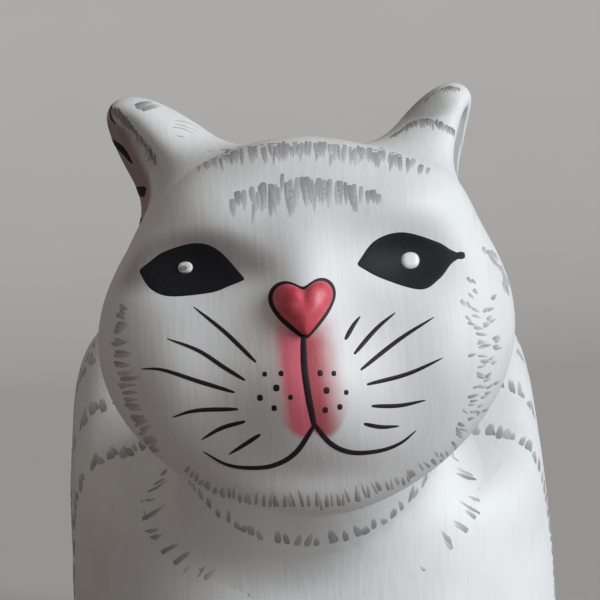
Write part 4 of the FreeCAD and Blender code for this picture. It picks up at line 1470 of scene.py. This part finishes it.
# %% [markdown]
# ## Camera, floor and light
#
# The cat looks straight into the camera, which leans a little to one side, as a hand holds it. It stands on a pale
# sheet that sweeps up behind it far away, so that no edge shows. The light is even daylight from one side, and a dim
# warm sky fills the shadows.

# %% The camera
LENS, SENSOR = 125.5, 36.0
AIM = Vector((-0.6, CHEEKS, 102.0)) * MM
AWAY = 400.0 * MM
TURNED, ROLLED = np.radians(-0.5), np.radians(3.0)

camera = placed("camera", bpy.data.cameras.new("camera"))
camera.data.lens, camera.data.sensor_width = LENS, SENSOR
camera.location = AIM + Vector((np.sin(TURNED), -np.cos(TURNED), 0.0)) * AWAY
view = (AIM - camera.location).normalized()
right = view.cross(Vector((0, 0, 1))).normalized()
up = (right.cross(view) * np.cos(ROLLED) + right * np.sin(ROLLED)).normalized()
camera.rotation_mode = "QUATERNION"
camera.rotation_quaternion = Matrix((view.cross(up), up, -view)).transposed().to_quaternion()
bpy.context.scene.camera = camera

# %% The sheet under and behind the cat


def sweep(half_width, front, turn_at, radius, top, columns=48):
    """Floor, quarter circle and wall in one sheet, in millimetres: a strip of places (y, z) pulled out to both
    sides, where the circle runs y = turn_at + radius x sin a, z = radius x (1 - cos a)."""
    turn = np.linspace(0, np.pi / 2, columns)
    y = np.concatenate([[front], turn_at + radius * np.sin(turn), [turn_at + radius]])
    z = np.concatenate([[0.0], radius * (1.0 - np.cos(turn)), [top]])
    sheet = np.stack([np.stack([0 * y + side * half_width, y, z], -1) for side in (-1, 1)], 1)
    k = np.arange(len(y) - 1)
    return sheet, np.stack([2 * k, 2 * k + 1, 2 * k + 3, 2 * k + 2], -1)


floor = placed("floor", fill_mesh("floor", *sweep(half_width=6000, front=-6000, turn_at=2200, radius=2000, top=5000)))
floor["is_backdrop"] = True
paper = Finish("pale paper", 0.9)
seen = paper.node("ShaderNodeLightPath", {}, {}, "Is Camera Ray")
tone = paper.mix(paper.noise(paper.place(), 0.004), (0.53, 0.505, 0.48), (0.56, 0.535, 0.51))
paper.set(Base_Color=paper.mix(seen, (0.30, 0.26, 0.24), tone))
dress([floor], paper)

# %% [markdown]
# The paper looks pale to the camera, but for every other ray it is darker, so that it throws less light up at the
# cat. The light and the sky are set so low that the white paint doesn't burn out.

# %% Sky and daylight
SKY_COLOUR, SKY_STRENGTH = (0.60, 0.55, 0.51, 1), 0.37

world = bpy.data.worlds.new("studio")
bpy.context.scene.world = world
world.use_nodes = True
world.node_tree.nodes["Background"].inputs["Color"].default_value = SKY_COLOUR
world.node_tree.nodes["Background"].inputs["Strength"].default_value = SKY_STRENGTH


def daylight(name, comes_from, breadth, strength, colour):
    """Even light from one side, as through a wide window: it falls alike on the cat, the floor and the wall."""
    data = bpy.data.lights.new(name, "SUN")
    data.angle, data.energy, data.color = np.radians(breadth), strength, colour
    made = placed(name, data)
    made.rotation_mode = "QUATERNION"
    made.rotation_quaternion = (-Vector(comes_from)).to_track_quat("-Z", "Y")


daylight("window", comes_from=(1.05, -0.60, 0.45), breadth=36.0, strength=3.25, colour=(0.88, 0.945, 1.0))
bpy.context.scene.view_settings.view_transform = "Standard"

# %% [markdown]
# Last, we gather the size of the fixed pieces and of the finished cat.

# %% Finish
size = {"cad": [list(v) for v in cad_box], "visual": [list(v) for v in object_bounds()]}
